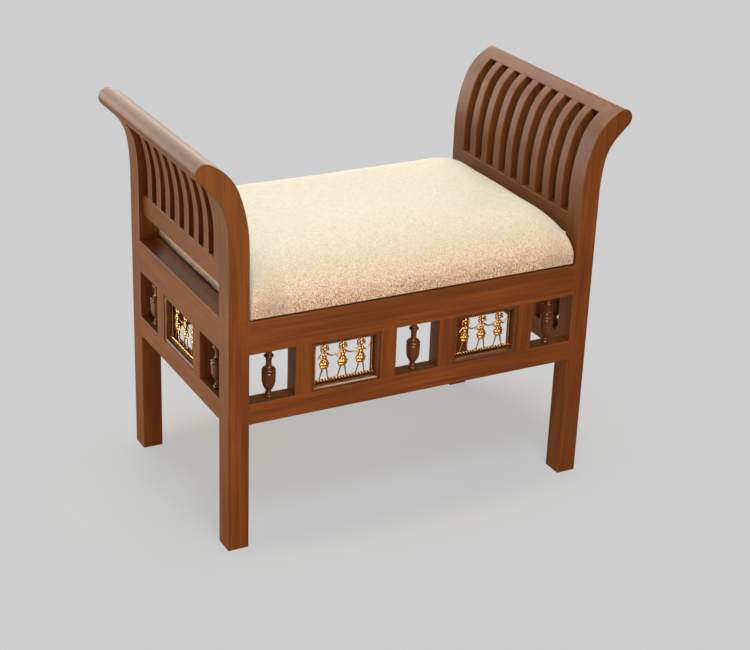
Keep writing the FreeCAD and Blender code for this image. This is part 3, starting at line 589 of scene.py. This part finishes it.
def dancer(reach, lift):
    """One dancer, feet at y = 0: a hand on the hip, the other arm held out in a hanging curve to a reach."""
    z = -0.7
    parts = [
        limb([(-2.6, 18, z), (-4.2, 12, z), (-6.2, 6, z), (-8, -0.6, z)], [1.4, 1.2, 0.95, 0.8]),
        limb([(2.6, 18, z), (4.6, 12, z), (4.8, 6, z), (6.2, -0.6, z)], [1.4, 1.2, 0.95, 0.8]),
        ball(-8.8, 0.4, z, 2, 1, 1.2),
        ball(7.1, 0.4, z, 2, 1, 1.2),
        skirt(-0.2, 19.4, z, 6.6, 3.6, 2.8, 7),
        skirt(-0.2, 23.6, z, 7.4, 4.4, 3.2, 9),
        skirt(-0.2, 28, z, 5.6, 3.4, 2.8, 6),
        ball(0, 31.2, z, 4, 1.1, 2.5),
        ball(0.1, 34.2, z, 3.7, 2.8, 2.1),
        ball(-1.9, 38.4, z + 0.3, 2.5, 2.9, 2.2),
        ball(1.9, 38.4, z + 0.3, 2.5, 2.9, 2.2),
        limb([(0, 40.4, z), (0.2, 44.6, z)], [1.8, 1.6]),
        ball(0.4, 46.8, z + 0.4, 3.1, 3.6, 2.3),
        limb([(-3.8, 42.8, z), (-5.4, 46.2, z), (-4.2, 50.8, z), (0, 52.6, z), (4.4, 50.8, z), (5.6, 46.8, z),
              (6.2, 43.8, z)], [0.9, 1.5, 1.7, 1.7, 1.7, 1.5, 0.8]),
        ball(-4.6, 50.4, z, 2.2, 2.1, 1.8),
        ball(4.8, 50.2, z, 2, 1.9, 1.8),
        ball(-5.6, 46.4, z, 1.6, 1.7, 1.5),
        ball(5.8, 46.6, z, 1.6, 1.7, 1.5),
        limb([(0.2, 51.6, z), (0.4, 55.6, z)], [2.4, 1.8]),
        limb([(-3.4, 40, z), (-6.6, 38.2, z), (-9.4, 33.6, z)], [1.7, 1.4, 1.1]),
        limb([(-9.4, 33.6, z), (-6.8, 32.6, z + 0.5), (-3.2, 31.6, z + 0.9)], [1.1, 1.2, 1.1]),
        limb([(3.4, 40, z), (reach * 0.34, 36.4, z), (reach * 0.68, 35, z), (reach, lift, z)],
             [1.7, 1.15, 0.95, 1]),
        ball(reach, lift, z, 1.4, 1.4, 1.2),
    ]
    return joined(parts, "dancer")


def rope(length, pitch, strand):
    """A twisted border of two strands along X, about its own middle."""
    strands = []
    turns = math.ceil(length / pitch)
    for half in (0, 1):
        bpy.ops.object.select_all(action="DESELECT")
        bpy.ops.mesh.primitive_circle_add(vertices=8, radius=strand, location=(strand * 1.05, 0, 0),
                                          rotation=(QUARTER, 0, 0))
        piece = settle(bpy.context.active_object)
        apply(piece, "SCREW", angle=2 * math.pi, screw_offset=pitch, steps=12, render_steps=12,
              iterations=turns, use_smooth_shade=True)
        piece.data.transform(Matrix.Rotation(half * math.pi, 4, "Z"))
        strands.append(piece)
    piece = joined(strands, "rope")
    piece.data.transform(Matrix.Translation((0, 0, -turns * pitch / 2)))
    piece.data.transform(Matrix.Rotation(QUARTER, 4, "Y"))
    piece.data.transform(Matrix.Scale(length / (turns * pitch), 4, Vector((1, 0, 0))))
    piece.data.transform(Matrix.Scale(ROPE_FLATNESS, 4, Vector((0, 0, 1))))
    edit(piece)
    bpy.ops.mesh.normals_make_consistent(inside=False)
    leave()
    return piece


def brass_panel(wide, name):
    """A cast panel: a flat border under twisted ropes, and a row of dancers that hold hands."""
    tall = GALLERY_HIGH - GALLERY_LOW
    clear_wide, clear_tall = wide - 2 * BRASS_BORDER, tall - 2 * BRASS_BORDER
    bpy.ops.object.select_all(action="DESELECT")
    bpy.ops.mesh.primitive_cube_add(size=1, location=(0, 0, -BRASS_THICK / 2))
    border = bpy.context.active_object
    border.scale = (wide - MM, tall - MM, BRASS_THICK)
    settle(border)
    edit(border, "FACE")
    pick(border, "faces", lambda face: abs(face.normal.z) > 0.9)
    bpy.ops.mesh.inset(thickness=BRASS_BORDER - BORDER_OVERLAP, depth=0)
    bpy.ops.mesh.bridge_edge_loops()
    leave()
    border_points = len(border.data.vertices)
    parts = [border]
    for quarter in range(4):
        length, reach = (wide, tall / 2) if quarter % 2 == 0 else (tall, wide / 2)
        strand = GROUND_STRAND if quarter == 0 else STRAND
        strip = rope(length - 2 * BEAD_WIDE, TWIST * strand, strand)
        strip.data.transform(Matrix.Translation((0, BRASS_BORDER - ROPE_INSET - reach, ROPE_PROUD)))
        strip.data.transform(Matrix.Rotation(quarter * QUARTER, 4, "Z"))
        parts.append(strip)
    pitch = clear_wide / DANCERS
    for index in range(DANCERS):
        last = index == DANCERS - 1
        past, lift = LAST_HAND if last else HELD_HAND
        figure = dancer((pitch / 2 if last else pitch) / MM + past, lift)
        middle = (index + 0.5) * pitch - clear_wide / 2
        figure.data.transform(Matrix.Translation((middle, -clear_tall / 2, 0)))
        parts.append(figure)
    piece = joined(parts, name)
    smooth(piece, 60)
    # painted shade: the brass darkens as its relief turns from the front, partly as patina, and the ropes at
    # the sides and top darken further for the frame's shade
    polish_and_painted_shade = piece.data.attributes.new("polish_and_painted_shade", "FLOAT", "POINT")
    for vert, value in zip(piece.data.vertices, polish_and_painted_shade.data):
        flat = vert.index < border_points
        shaded = abs(vert.co.x) > clear_wide / 2 or vert.co.y > clear_tall / 2
        facing = smoothstep(0.3, 0.95, vert.normal.z)
        relief_polish_and_shade = TURNED_PATINA_AND_SHADE + (1 - TURNED_PATINA_AND_SHADE) * facing
        value.value = BORDER_POLISH if flat else relief_polish_and_shade * (FRAME_PAINTED_SHADE if shaded else 1)
    return piece


def panels():
    """Beads and brass of all six openings."""
    for sides, node_tail in ((("front", "back"), "_1"), (("left", "right"), "")):
        low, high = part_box(sides[0] + "_panel_beads" + node_tail)
        wide = max(high.x - low.x, high.y - low.y)
        moulding = bead(wide, "bead")
        brass = brass_panel(wide, "brass")
        for side in sides:
            for node in sorted(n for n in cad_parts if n.startswith(side + "_panel_beads")):
                cast = node.replace("panel_beads", "brass_panel")
                place = standing(node)
                grain = GLOSSY_WOOD[0 if side in ("front", "back") else 1]
                finish(twin(moulding, node + "_wood", place), "frame_wood", grain, node)
                finish(twin(brass, cast.replace("panel", "dancers"), place), "brass", BRASS, cast)
        bpy.data.objects.remove(moulding)
        bpy.data.objects.remove(brass)


# Seat

CLOTH_GRID = 5 * MM
PAD_SWELL = 4 * MM
PAD_REACH = INNER_X - 2.2 * MM
SWELL_TICKS = 20
HELD_TALL = 4 * MM
FILL_OUT = 1.7 * MM
# the foot of the cover is spread, so that it hides the edge of the board
FOOT_SPREAD = 1.2 * MM
FOOT_TALL = 2.4 * MM
FOOT_GAP = 0.4 * MM
HEM, HEM_FOLD = 25 * MM, 1.2 * MM
BEND_STARTS, BEND_ENDS = 60 * MM, 10 * MM


def swollen(piece, held):
    """Lets the cloth of a pad swell under a little pressure, each point by no more than the pad's swell."""
    group = piece.vertex_groups.new(name="held")
    group.add([v.index for v in piece.data.vertices if v.co.z < held], 1, "REPLACE")
    start = [v.co.copy() for v in piece.data.vertices]
    cloth = piece.modifiers.new("Cloth", "CLOTH")
    cloth.settings.quality = 4
    cloth.settings.mass = 0.3
    for way in ("tension", "compression", "shear"):
        setattr(cloth.settings, way + "_stiffness", 200)
    cloth.settings.bending_stiffness = 10
    cloth.settings.use_pressure = True
    cloth.settings.uniform_pressure_force = 4
    cloth.settings.vertex_group_mass = "held"
    cloth.settings.effector_weights.gravity = 0
    cloth.collision_settings.use_collision = False
    scene = bpy.context.scene
    for tick in range(1, SWELL_TICKS + 1):
        scene.frame_set(tick)
    swelled = piece.evaluated_get(bpy.context.evaluated_depsgraph_get()).data
    ends = [v.co.copy() for v in swelled.vertices]
    piece.modifiers.remove(cloth)
    for vert, old, new in zip(piece.data.vertices, start, ends):
        move = new - old
        vert.co = old + move * min(1, PAD_SWELL / max(move.length, TOUCH))
        vert.co.x = max(-PAD_REACH, min(PAD_REACH, vert.co.x))
    scene.frame_set(1)


def smoothstep(low, high, value):
    """Share of a value between two ends, eased at both."""
    share = min(1, max(0, (value - low) / (high - low)))
    return share * share * (3 - 2 * share)


def weave_map(piece, base):
    """Lays the threads out in metres over the crown and down the sides, marks how far each point turns from
    facing up, for painted shade on the sides, and marks the turned-in foot, which is painted dark as shade.
    """
    top = max(v.co.z for v in piece.data.vertices)
    layer = piece.data.uv_layers.new(name="weave")
    places = []
    for vert in piece.data.vertices:
        x, y, z = vert.co
        drop = top - z
        across = smoothstep(INNER_X - BEND_STARTS, INNER_X - BEND_ENDS, abs(x))
        along = smoothstep(OUTER_Y - BEND_STARTS, OUTER_Y - BEND_ENDS, abs(y))
        places.append((x + math.copysign(across * drop, x), y + math.copysign(along * drop, y)))
    for loop in piece.data.loops:
        layer.data[loop.index].uv = places[loop.vertex_index]
    # painted shade: 0 where the cloth faces up, 1 on its sides, so that its flecks and thread gaps show
    # darker there, as the shade of the threads in grazing light
    painted_side_shade = piece.data.attributes.new("painted_side_shade", "FLOAT", "POINT")
    for vert, value in zip(piece.data.vertices, painted_side_shade.data):
        value.value = 1 - max(0, vert.normal.z)
    # painted shade: the turned-in foot is marked, to be painted near-black as the shadow in the crease under
    # the pad
    fold = piece.data.attributes.new("fold", "FLOAT", "POINT")
    for vert, value in zip(piece.data.vertices, fold.data):
        value.value = float(vert.co.z < base + FOOT_TALL)


def open_underneath(piece, base):
    """Cuts the cover open under the board and folds its hem up against it."""
    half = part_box("seat_cover")[1]
    edges = (half.x - HEM, half.y - HEM)

    def underneath(face):
        return face.normal.z < -0.8 and face.calc_center_median().z < base + HELD_TALL

    def in_mouth(face):
        middle = face.calc_center_median()
        return underneath(face) and abs(middle.x) < edges[0] and abs(middle.y) < edges[1]

    for axis, edge in enumerate(edges):
        for sign in (-1, 1):
            way = Vector([sign * (k == axis) for k in range(3)])
            edit(piece, "FACE")
            pick(piece, "faces", underneath)
            bpy.ops.mesh.bisect(plane_co=way * edge, plane_no=way)
            leave()
    edit(piece, "FACE")
    pick(piece, "faces", in_mouth)
    bpy.ops.mesh.delete(type="FACE")
    pick(piece, "edges", lambda edge: edge.is_boundary)
    bpy.ops.mesh.extrude_region_move(TRANSFORM_OT_translate={"value": (0, 0, HEM_FOLD)})
    leave()


def seat():
    """The upholstered pad: its crowned form, swollen as cloth over foam, its cover turned in underneath."""
    piece = twin(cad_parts["seat_foam"], "seat_cushion")
    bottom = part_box("seat_foam")[0].z
    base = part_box("seat_cover")[0].z
    edit(piece)
    bpy.ops.mesh.remove_doubles(threshold=MM / 100)
    pick(piece, "faces", lambda face: face.normal.z < -0.9 and face.calc_center_median().z < bottom + MM)
    bpy.ops.mesh.extrude_region_move(TRANSFORM_OT_translate={"value": (0, 0, base + FOOT_GAP - bottom)})
    bpy.ops.mesh.select_all(action="SELECT")
    bpy.ops.mesh.normals_make_consistent(inside=False)
    leave()
    only(piece)
    piece.data.remesh_voxel_size = CLOTH_GRID
    bpy.ops.object.voxel_remesh()
    swollen(piece, base + HELD_TALL)
    apply(piece, "SMOOTH", factor=0.5, iterations=2)
    apply(piece, "SUBSURF", levels=1, render_levels=1)
    edit(piece)
    pick(piece, "faces", lambda face: face.normal.z > -0.5)
    bpy.ops.transform.shrink_fatten(value=FILL_OUT)
    pick(piece, "verts", lambda vert: vert.co.z < base + FOOT_TALL)
    spread = (1 + FOOT_SPREAD / INNER_X, 1 + FOOT_SPREAD / OUTER_Y, 1)
    bpy.ops.transform.resize(value=spread, center_override=(0, 0, 0))
    leave()
    open_underneath(piece, base)
    weave_map(piece, base)
    smooth(piece, 80)
    return finish(piece, "cover_fabric", FABRIC, "seat_cover", "seat_foam")


# Materials


def material(name):
    """A new material with its node tree and its shader."""
    made = bpy.data.materials.new(name)
    made.use_nodes = True
    tree = made.node_tree
    shader = next(n for n in tree.nodes if n.type == "BSDF_PRINCIPLED")
    return made, tree, shader


def add(tree, kind, inputs=(), **settings):
    """A node with its settings; an input is a value or another node's output."""
    made = tree.nodes.new(kind)
    for key, value in settings.items():
        setattr(made, key, value)
    for key, value in dict(inputs).items():
        if isinstance(value, bpy.types.NodeSocket):
            tree.links.new(value, made.inputs[key])
        else:
            made.inputs[key].default_value = value
    return made


def ramp(tree, factor, *stops):
    """Colours along a factor, each stop a place and a colour."""
    made = add(tree, "ShaderNodeValToRGB", {"Fac": factor})
    band = made.color_ramp
    while len(band.elements) < len(stops):
        band.elements.new(0.5)
    for element, (place, colour) in zip(band.elements, stops):
        element.position = place
        element.color = (*colour, 1)
    return made.outputs["Color"]


def maths(tree, operation, first, second=0.0, clamp=False):
    """The result of an operation on one or two values."""
    return add(tree, "ShaderNodeMath", {0: first, 1: second}, operation=operation, use_clamp=clamp).outputs[0]


def mixed(tree, factor, first, second, blend="MIX"):
    """One colour laid over another."""
    made = add(tree, "ShaderNodeMix", data_type="RGBA", blend_type=blend)
    for key, value in ((0, factor), (6, first), (7, second)):
        if isinstance(value, bpy.types.NodeSocket):
            tree.links.new(value, made.inputs[key])
        else:
            made.inputs[key].default_value = value if key == 0 else (*value, 1)
    return made.outputs[2]


def noise(tree, place, scale=1.0, detail=2.0, roughness=0.5, distortion=0.0):
    """Soft random tones."""
    inputs = {"Vector": place, "Scale": scale, "Detail": detail, "Roughness": roughness,
              "Distortion": distortion}
    return add(tree, "ShaderNodeTexNoise", inputs).outputs["Fac"]


def scaled(tree, place, scale):
    """Places stretched along their axes."""
    return add(tree, "ShaderNodeMapping", {"Vector": place, "Scale": scale}).outputs["Vector"]


def ranged(tree, value, low, high, start=0.0, end=1.0, **settings):
    """A value brought from one range to another."""
    inputs = {"Value": value, "From Min": start, "From Max": end, "To Min": low, "To Max": high}
    return add(tree, "ShaderNodeMapRange", inputs, **settings).outputs[0]


def marked(tree, name):
    """A value that the points of a piece carry."""
    return add(tree, "ShaderNodeAttribute", attribute_name=name).outputs["Fac"]


def uneven(tree, shader, height, strength, distance):
    """Gives a surface its fine unevenness."""
    inputs = {"Strength": strength, "Distance": distance, "Height": height}
    tree.links.new(add(tree, "ShaderNodeBump", inputs).outputs["Normal"], shader.inputs["Normal"])


def wood(name, axis, painted_shade, coat, coat_rough):
    """Reddish brown hardwood under lacquer, its grain along one axis."""
    made, tree, shader = material(name)
    place = add(tree, "ShaderNodeTexCoord").outputs["Object"]

    def stretched(across, along):
        scale = [across] * 3
        scale[axis] = along
        return scaled(tree, place, scale)

    figure = noise(tree, stretched(55, 2.6), detail=5.0, roughness=0.6, distortion=0.9)
    streak = noise(tree, stretched(380, 8), detail=3.0, roughness=0.6)
    pores = noise(tree, stretched(900, 28))
    patch = noise(tree, place, 7.0, 1.0)
    body = ramp(tree, figure, (0.26, (0.126, 0.034, 0.0046)), (0.5, (0.182, 0.053, 0.008)),
                (0.76, (0.24, 0.078, 0.013)))
    lines = ramp(tree, streak, (0.34, (0.62, 0.58, 0.55)), (0.6, (1.08, 1.08, 1.08)))
    dots = ramp(tree, pores, (0.3, (0.7, 0.66, 0.62)), (0.44, (1, 1, 1)))
    # painted shade: the tone is scaled by a factor, which darkens the glossy wood of the balusters and beads
    # for the shade in the openings
    dull, bright = [[part * painted_shade for part in tint] for tint in ((0.86, 0.84, 0.82), (1.1, 1.1, 1.1))]
    tone = ramp(tree, patch, (0.3, dull), (0.7, bright))
    colour = mixed(tree, 0.8, body, lines, "MULTIPLY")
    colour = mixed(tree, 0.6, colour, dots, "MULTIPLY")
    colour = mixed(tree, 1.0, colour, tone, "MULTIPLY")
    tree.links.new(colour, shader.inputs["Base Color"])
    tree.links.new(ranged(tree, streak, 0.36, 0.5), shader.inputs["Roughness"])
    height = maths(tree, "ADD", maths(tree, "MULTIPLY", streak, 0.6), maths(tree, "MULTIPLY", pores, 0.4))
    uneven(tree, shader, height, 0.05, 0.6 * MM)
    shader.inputs["Specular IOR Level"].default_value = 0.35
    shader.inputs["Coat Weight"].default_value = coat
    shader.inputs["Coat Roughness"].default_value = coat_rough
    return made


def fabric():
    """Cream plain weave with uneven, flecked threads; its flecks and gaps are painted darker on the sides,
    and its turned-in foot near-black, as shade.
    """
    made, tree, shader = material("cream weave")
    cloth = add(tree, "ShaderNodeUVMap", uv_map="weave").outputs["UV"]
    axes = add(tree, "ShaderNodeSeparateXYZ", {"Vector": cloth}).outputs
    pitch = 2.4 * MM
    warp = maths(tree, "SINE", maths(tree, "MULTIPLY", axes["X"], math.pi / pitch))
    weft = maths(tree, "SINE", maths(tree, "MULTIPLY", axes["Y"], math.pi / pitch))
    over = maths(tree, "MULTIPLY", warp, weft)
    slubs = []
    for scale in ((75, 620, 1), (620, 75, 1)):
        slubs.append(noise(tree, scaled(tree, cloth, scale), detail=3.0, roughness=0.65))
    cross = ramp(tree, slubs[0], (0.3, (0.61, 0.52, 0.43)), (0.46, (0.86, 0.785, 0.69)),
                 (0.66, (0.96, 0.9, 0.83)))
    length = ramp(tree, slubs[1], (0.3, (0.56, 0.46, 0.37)), (0.46, (0.81, 0.725, 0.62)),
                  (0.66, (0.92, 0.855, 0.78)))
    side = maths(tree, "ADD", maths(tree, "MULTIPLY", over, 1.4), 0.5, clamp=True)
    threads = mixed(tree, side, cross, length)
    flecks = (1, 1, 1)
    long, thin = 1.7 * MM, 0.75 * MM
    for grid in ((long, thin, 1), (thin, long, 1)):
        cell = add(tree, "ShaderNodeVectorMath", {0: cloth, 1: grid}, operation="SNAP").outputs["Vector"]
        chance = add(tree, "ShaderNodeTexWhiteNoise", {"Vector": cell}, noise_dimensions="2D").outputs[0]
        dashes = ramp(tree, chance, (0.12, (0.4, 0.21, 0.06)), (0.24, (1, 1, 1)))
        flecks = mixed(tree, 1.0, flecks, dashes, "MULTIPLY")
    gaps = ramp(tree, maths(tree, "ABSOLUTE", over), (0.05, (0.35, 0.26, 0.19)), (0.4, (1, 1, 1)))
    # the flecks and thread gaps are the cloth's own, shown more on the sides as painted shade
    side_shade_share = ranged(tree, marked(tree, "painted_side_shade"), 0.22, 1.0)
    colour = mixed(tree, side_shade_share, threads, flecks, "MULTIPLY")
    colour = mixed(tree, maths(tree, "MULTIPLY", side_shade_share, 0.3), colour, gaps, "MULTIPLY")
    # painted shade: the turned-in foot is painted near-black for the shadow in the crease under the pad
    fold = ranged(tree, marked(tree, "fold"), 0.0, 1.0, 0.4, 0.8)
    colour = mixed(tree, fold, colour, (0.03, 0.015, 0.008))
    tree.links.new(colour, shader.inputs["Base Color"])
    shader.inputs["Roughness"].default_value = 0.55
    shader.inputs["Specular IOR Level"].default_value = 0.9
    shader.inputs["Sheen Weight"].default_value = 0.2
    thread = maths(tree, "MULTIPLY", maths(tree, "ABSOLUTE", over), 0.6)
    nap = maths(tree, "MULTIPLY", noise(tree, cloth, 390.0, 1.0), 0.6)
    uneven(tree, shader, maths(tree, "ADD", thread, nap), 0.9, MM)
    return made


def brass():
    """Antiqued cast brass: polished where it faces out, dark where its relief turns away, as patina and
    painted shade, and darker in the frame's painted shade.
    """
    made, tree, shader = material("antique brass")
    place = add(tree, "ShaderNodeTexCoord").outputs["Object"]
    cast = noise(tree, place, 500.0, 3.0)
    mottle = maths(tree, "MULTIPLY", maths(tree, "SUBTRACT", cast, 0.5), 0.7)
    shine = maths(tree, "ADD", marked(tree, "polish_and_painted_shade"), mottle, clamp=True)
    colour = ramp(tree, shine, (0.2, (0.06, 0.025, 0.007)), (0.5, (0.62, 0.29, 0.075)), (0.9, (1, 0.68, 0.3)))
    tree.links.new(colour, shader.inputs["Base Color"])
    tree.links.new(ranged(tree, shine, 0.5, 0.2), shader.inputs["Roughness"])
    shader.inputs["Metallic"].default_value = 1.0
    uneven(tree, shader, cast, 0.3, 0.4 * MM)
    return made


def plain(name, dark, light, scale, roughness, metallic=0.0):
    """A finish of two mottled tones for what is seen only from below."""
    made, tree, shader = material(name)
    place = add(tree, "ShaderNodeTexCoord").outputs["Object"]
    mottle = noise(tree, scaled(tree, place, scale), detail=4.0)
    tree.links.new(ramp(tree, mottle, (0.3, dark), (0.7, light)), shader.inputs["Base Color"])
    shader.inputs["Roughness"].default_value = roughness
    shader.inputs["Metallic"].default_value = metallic
    uneven(tree, shader, mottle, 0.1, 0.5 * MM)
    return made


WOOD = [wood(f"satin wood along {name}", axis, 1, 0.4, 0.3) for axis, name in enumerate("xyz")]
# painted shade: the glossy wood is 0.7 as dark, for the shade on the turned balusters and beads in the
# openings
GLOSSY_WOOD = [wood(f"glossy wood along {name}", axis, 0.7, 1, 0.09) for axis, name in enumerate("xyz")]
FABRIC = fabric()
BRASS = brass()
PLYWOOD = plain("bare plywood", (0.36, 0.23, 0.12), (0.6, 0.43, 0.26), (6, 160, 160), 0.7)
STEEL = plain("plated steel", (0.4, 0.4, 0.38), (0.62, 0.61, 0.58), (300, 300, 300), 0.35, 1.0)


def hidden_parts():
    """Materials of the solids that keep their shape: blocks, board, screws and pins."""
    kept = {"corner_blocks": WOOD[0], "seat_board": PLYWOOD, "corner_block_bolts": STEEL,
            "seat_screws": STEEL, "panel_pins": STEEL}
    for node, finish_of in kept.items():
        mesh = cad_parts[node].data
        mesh.materials.clear()
        mesh.materials.append(finish_of)


# Camera, floor and light

CAMERA_PLACE = Vector((-1.14147, -2.15729, 1.33066))
AZIMUTH, ELEVATION, ROLL = math.radians(-28.51), math.radians(24.289), math.radians(2.176)
LENS, SENSOR_WIDE, FARTHEST = 82.37, 36, 50
FLOOR_WIDE = 30
BACKDROP = (0.617, 0.617, 0.617, 1)
FLOOR_SEEN, FLOOR_LIT = (0.57, 0.57, 0.57), (0.34, 0.28, 0.22)
SKY_LIGHT = 0.13


def camera():
    """The camera of the photograph, tilted a little about its own line of sight."""
    data = bpy.data.cameras.new("camera")
    data.lens = LENS
    data.sensor_width = SENSOR_WIDE
    data.clip_end = FARTHEST
    thing = bpy.data.objects.new("camera", data)
    bpy.context.scene.collection.objects.link(thing)
    ahead = Vector((-math.sin(AZIMUTH) * math.cos(ELEVATION), math.cos(AZIMUTH) * math.cos(ELEVATION),
                    -math.sin(ELEVATION)))
    level = Vector((math.cos(AZIMUTH), math.sin(AZIMUTH), 0))
    above = level.cross(ahead)
    right = level * math.cos(ROLL) + above * math.sin(ROLL)
    facing = Matrix((right, right.cross(ahead), -ahead)).transposed().to_4x4()
    thing.matrix_world = Matrix.Translation(CAMERA_PLACE) @ facing
    bpy.context.scene.camera = thing


def lamp(name, place, target, size, power, colour):
    """A large soft lamp that faces a target."""
    data = bpy.data.lights.new(name, "AREA")
    data.shape = "DISK"
    data.size = size
    data.energy = power
    data.color = colour
    thing = bpy.data.objects.new(name, data)
    bpy.context.scene.collection.objects.link(thing)
    facing = (Vector(target) - Vector(place)).to_track_quat("-Z", "Y").to_matrix().to_4x4()
    thing.matrix_world = Matrix.Translation(place) @ facing


def pale_floor():
    """A floor that keeps the shadow near the bench and fades into the backdrop farther off; to glossy rays it
    glows warm, more behind the bench and farther off, as a painted reflection.
    """
    bpy.ops.object.select_all(action="DESELECT")
    bpy.ops.mesh.primitive_plane_add(size=FLOOR_WIDE, location=(0, 0, 0))
    floor = bpy.context.active_object
    floor.name = "floor"
    made, tree, shader = material("floor")
    floor.data.materials.append(made)
    shader.inputs["Roughness"].default_value = 1.0
    shader.inputs["Specular IOR Level"].default_value = 0.0
    place = add(tree, "ShaderNodeTexCoord").outputs["Object"]
    oval = scaled(tree, place, (0.62, 1, 1))
    away = add(tree, "ShaderNodeVectorMath", {0: oval}, operation="LENGTH").outputs["Value"]
    fade = ranged(tree, away, 0.62, 1.0, 0.19, 0.34, interpolation_type="SMOOTHSTEP")
    path = add(tree, "ShaderNodeLightPath").outputs
    colour = mixed(tree, path["Is Camera Ray"], FLOOR_LIT, FLOOR_SEEN)
    tree.links.new(colour, shader.inputs["Base Color"])
    glow = add(tree, "ShaderNodeEmission", {"Color": BACKDROP}).outputs[0]
    share = maths(tree, "MULTIPLY", fade, path["Is Camera Ray"])
    seen = add(tree, "ShaderNodeMixShader", {0: share, 1: shader.outputs[0], 2: glow}).outputs[0]
    # painted reflection: glossy rays see the floor as a warm glow, brighter behind the bench and farther from
    # it, which gives the lacquer its sheen
    depth = add(tree, "ShaderNodeSeparateXYZ", {"Vector": place}).outputs["Y"]
    behind = ranged(tree, depth, 0.2, 0.42, -0.6, 0.8)
    clear = ranged(tree, away, 0.2, 1.0, 0.15, 0.4)
    strength = maths(tree, "MULTIPLY", clear, behind)
    painted_reflection = add(tree, "ShaderNodeEmission", {"Color": (1, 0.82, 0.6, 1), "Strength": strength}).outputs[0]
    both = add(tree, "ShaderNodeMixShader", {0: path["Is Glossy Ray"], 1: seen, 2: painted_reflection}).outputs[0]
    out = next(n for n in tree.nodes if n.type == "OUTPUT_MATERIAL")
    tree.links.new(both, out.inputs["Surface"])


def pale_backdrop():
    """A sky that is seen as the backdrop and gives only a little light."""
    world = bpy.data.worlds.new("studio")
    bpy.context.scene.world = world
    world.use_nodes = True
    sky = world.node_tree
    back = next(n for n in sky.nodes if n.type == "BACKGROUND")
    shown = add(sky, "ShaderNodeBackground", {"Color": BACKDROP, "Strength": 1.0}).outputs[0]
    back.inputs["Color"].default_value = (1, 1, 1, 1)
    back.inputs["Strength"].default_value = SKY_LIGHT
    straight = add(sky, "ShaderNodeLightPath").outputs["Is Camera Ray"]
    seen = add(sky, "ShaderNodeMixShader", {0: straight, 1: back.outputs[0], 2: shown}).outputs[0]
    sky.links.new(seen, next(n for n in sky.nodes if n.type == "OUTPUT_WORLD").inputs["Surface"])


def lamps():
    """Soft lamps round the bench: cool from a window, warm from above and from low in front."""
    lamp("overhead", (0.15, 0.1, 3.2), (0, 0, 0.4), 0.7, 42, (1, 0.8, 0.42))
    lamp("left", (-1.0, 0.1, 0.06), (-0.3, 0, 0.1), 0.5, 7.5, (1, 0.84, 0.58))
    lamp("back", (0, 2.8, 1.5), (0, 0, 0.45), 3.2, 54, (1, 0.94, 0.84))
    lamp("back left", (-1.6, 2.4, 0.7), (0, 0, 0.45), 1.6, 14, (1, 0.94, 0.84))
    lamp("back right", (1.9, 2.5, 0.8), (0, 0, 0.45), 1.6, 16, (1, 0.92, 0.8))
    lamp("window", (-0.5, -1.6, 2.55), (0, 0, 0.4), 1.2, 49, (0.6, 0.85, 1))
    lamp("front", (-0.2, -1.8, 0.25), (0, 0, 0.3), 1.2, 23.5, (1, 0.49, 0.14))
    lamp("glints", (1.25, -2.2, 2.1), (0, 0, 0.3), 0.4, 4, (1, 0.8, 0.64))


for node in TIMBERS:
    if not node.endswith("_post"):
        timber(node)
posts()
arms()
balusters()
panels()
seat()
hidden_parts()
camera()
pale_floor()
pale_backdrop()
lamps()
bpy.context.scene.view_settings.view_transform = "Standard"
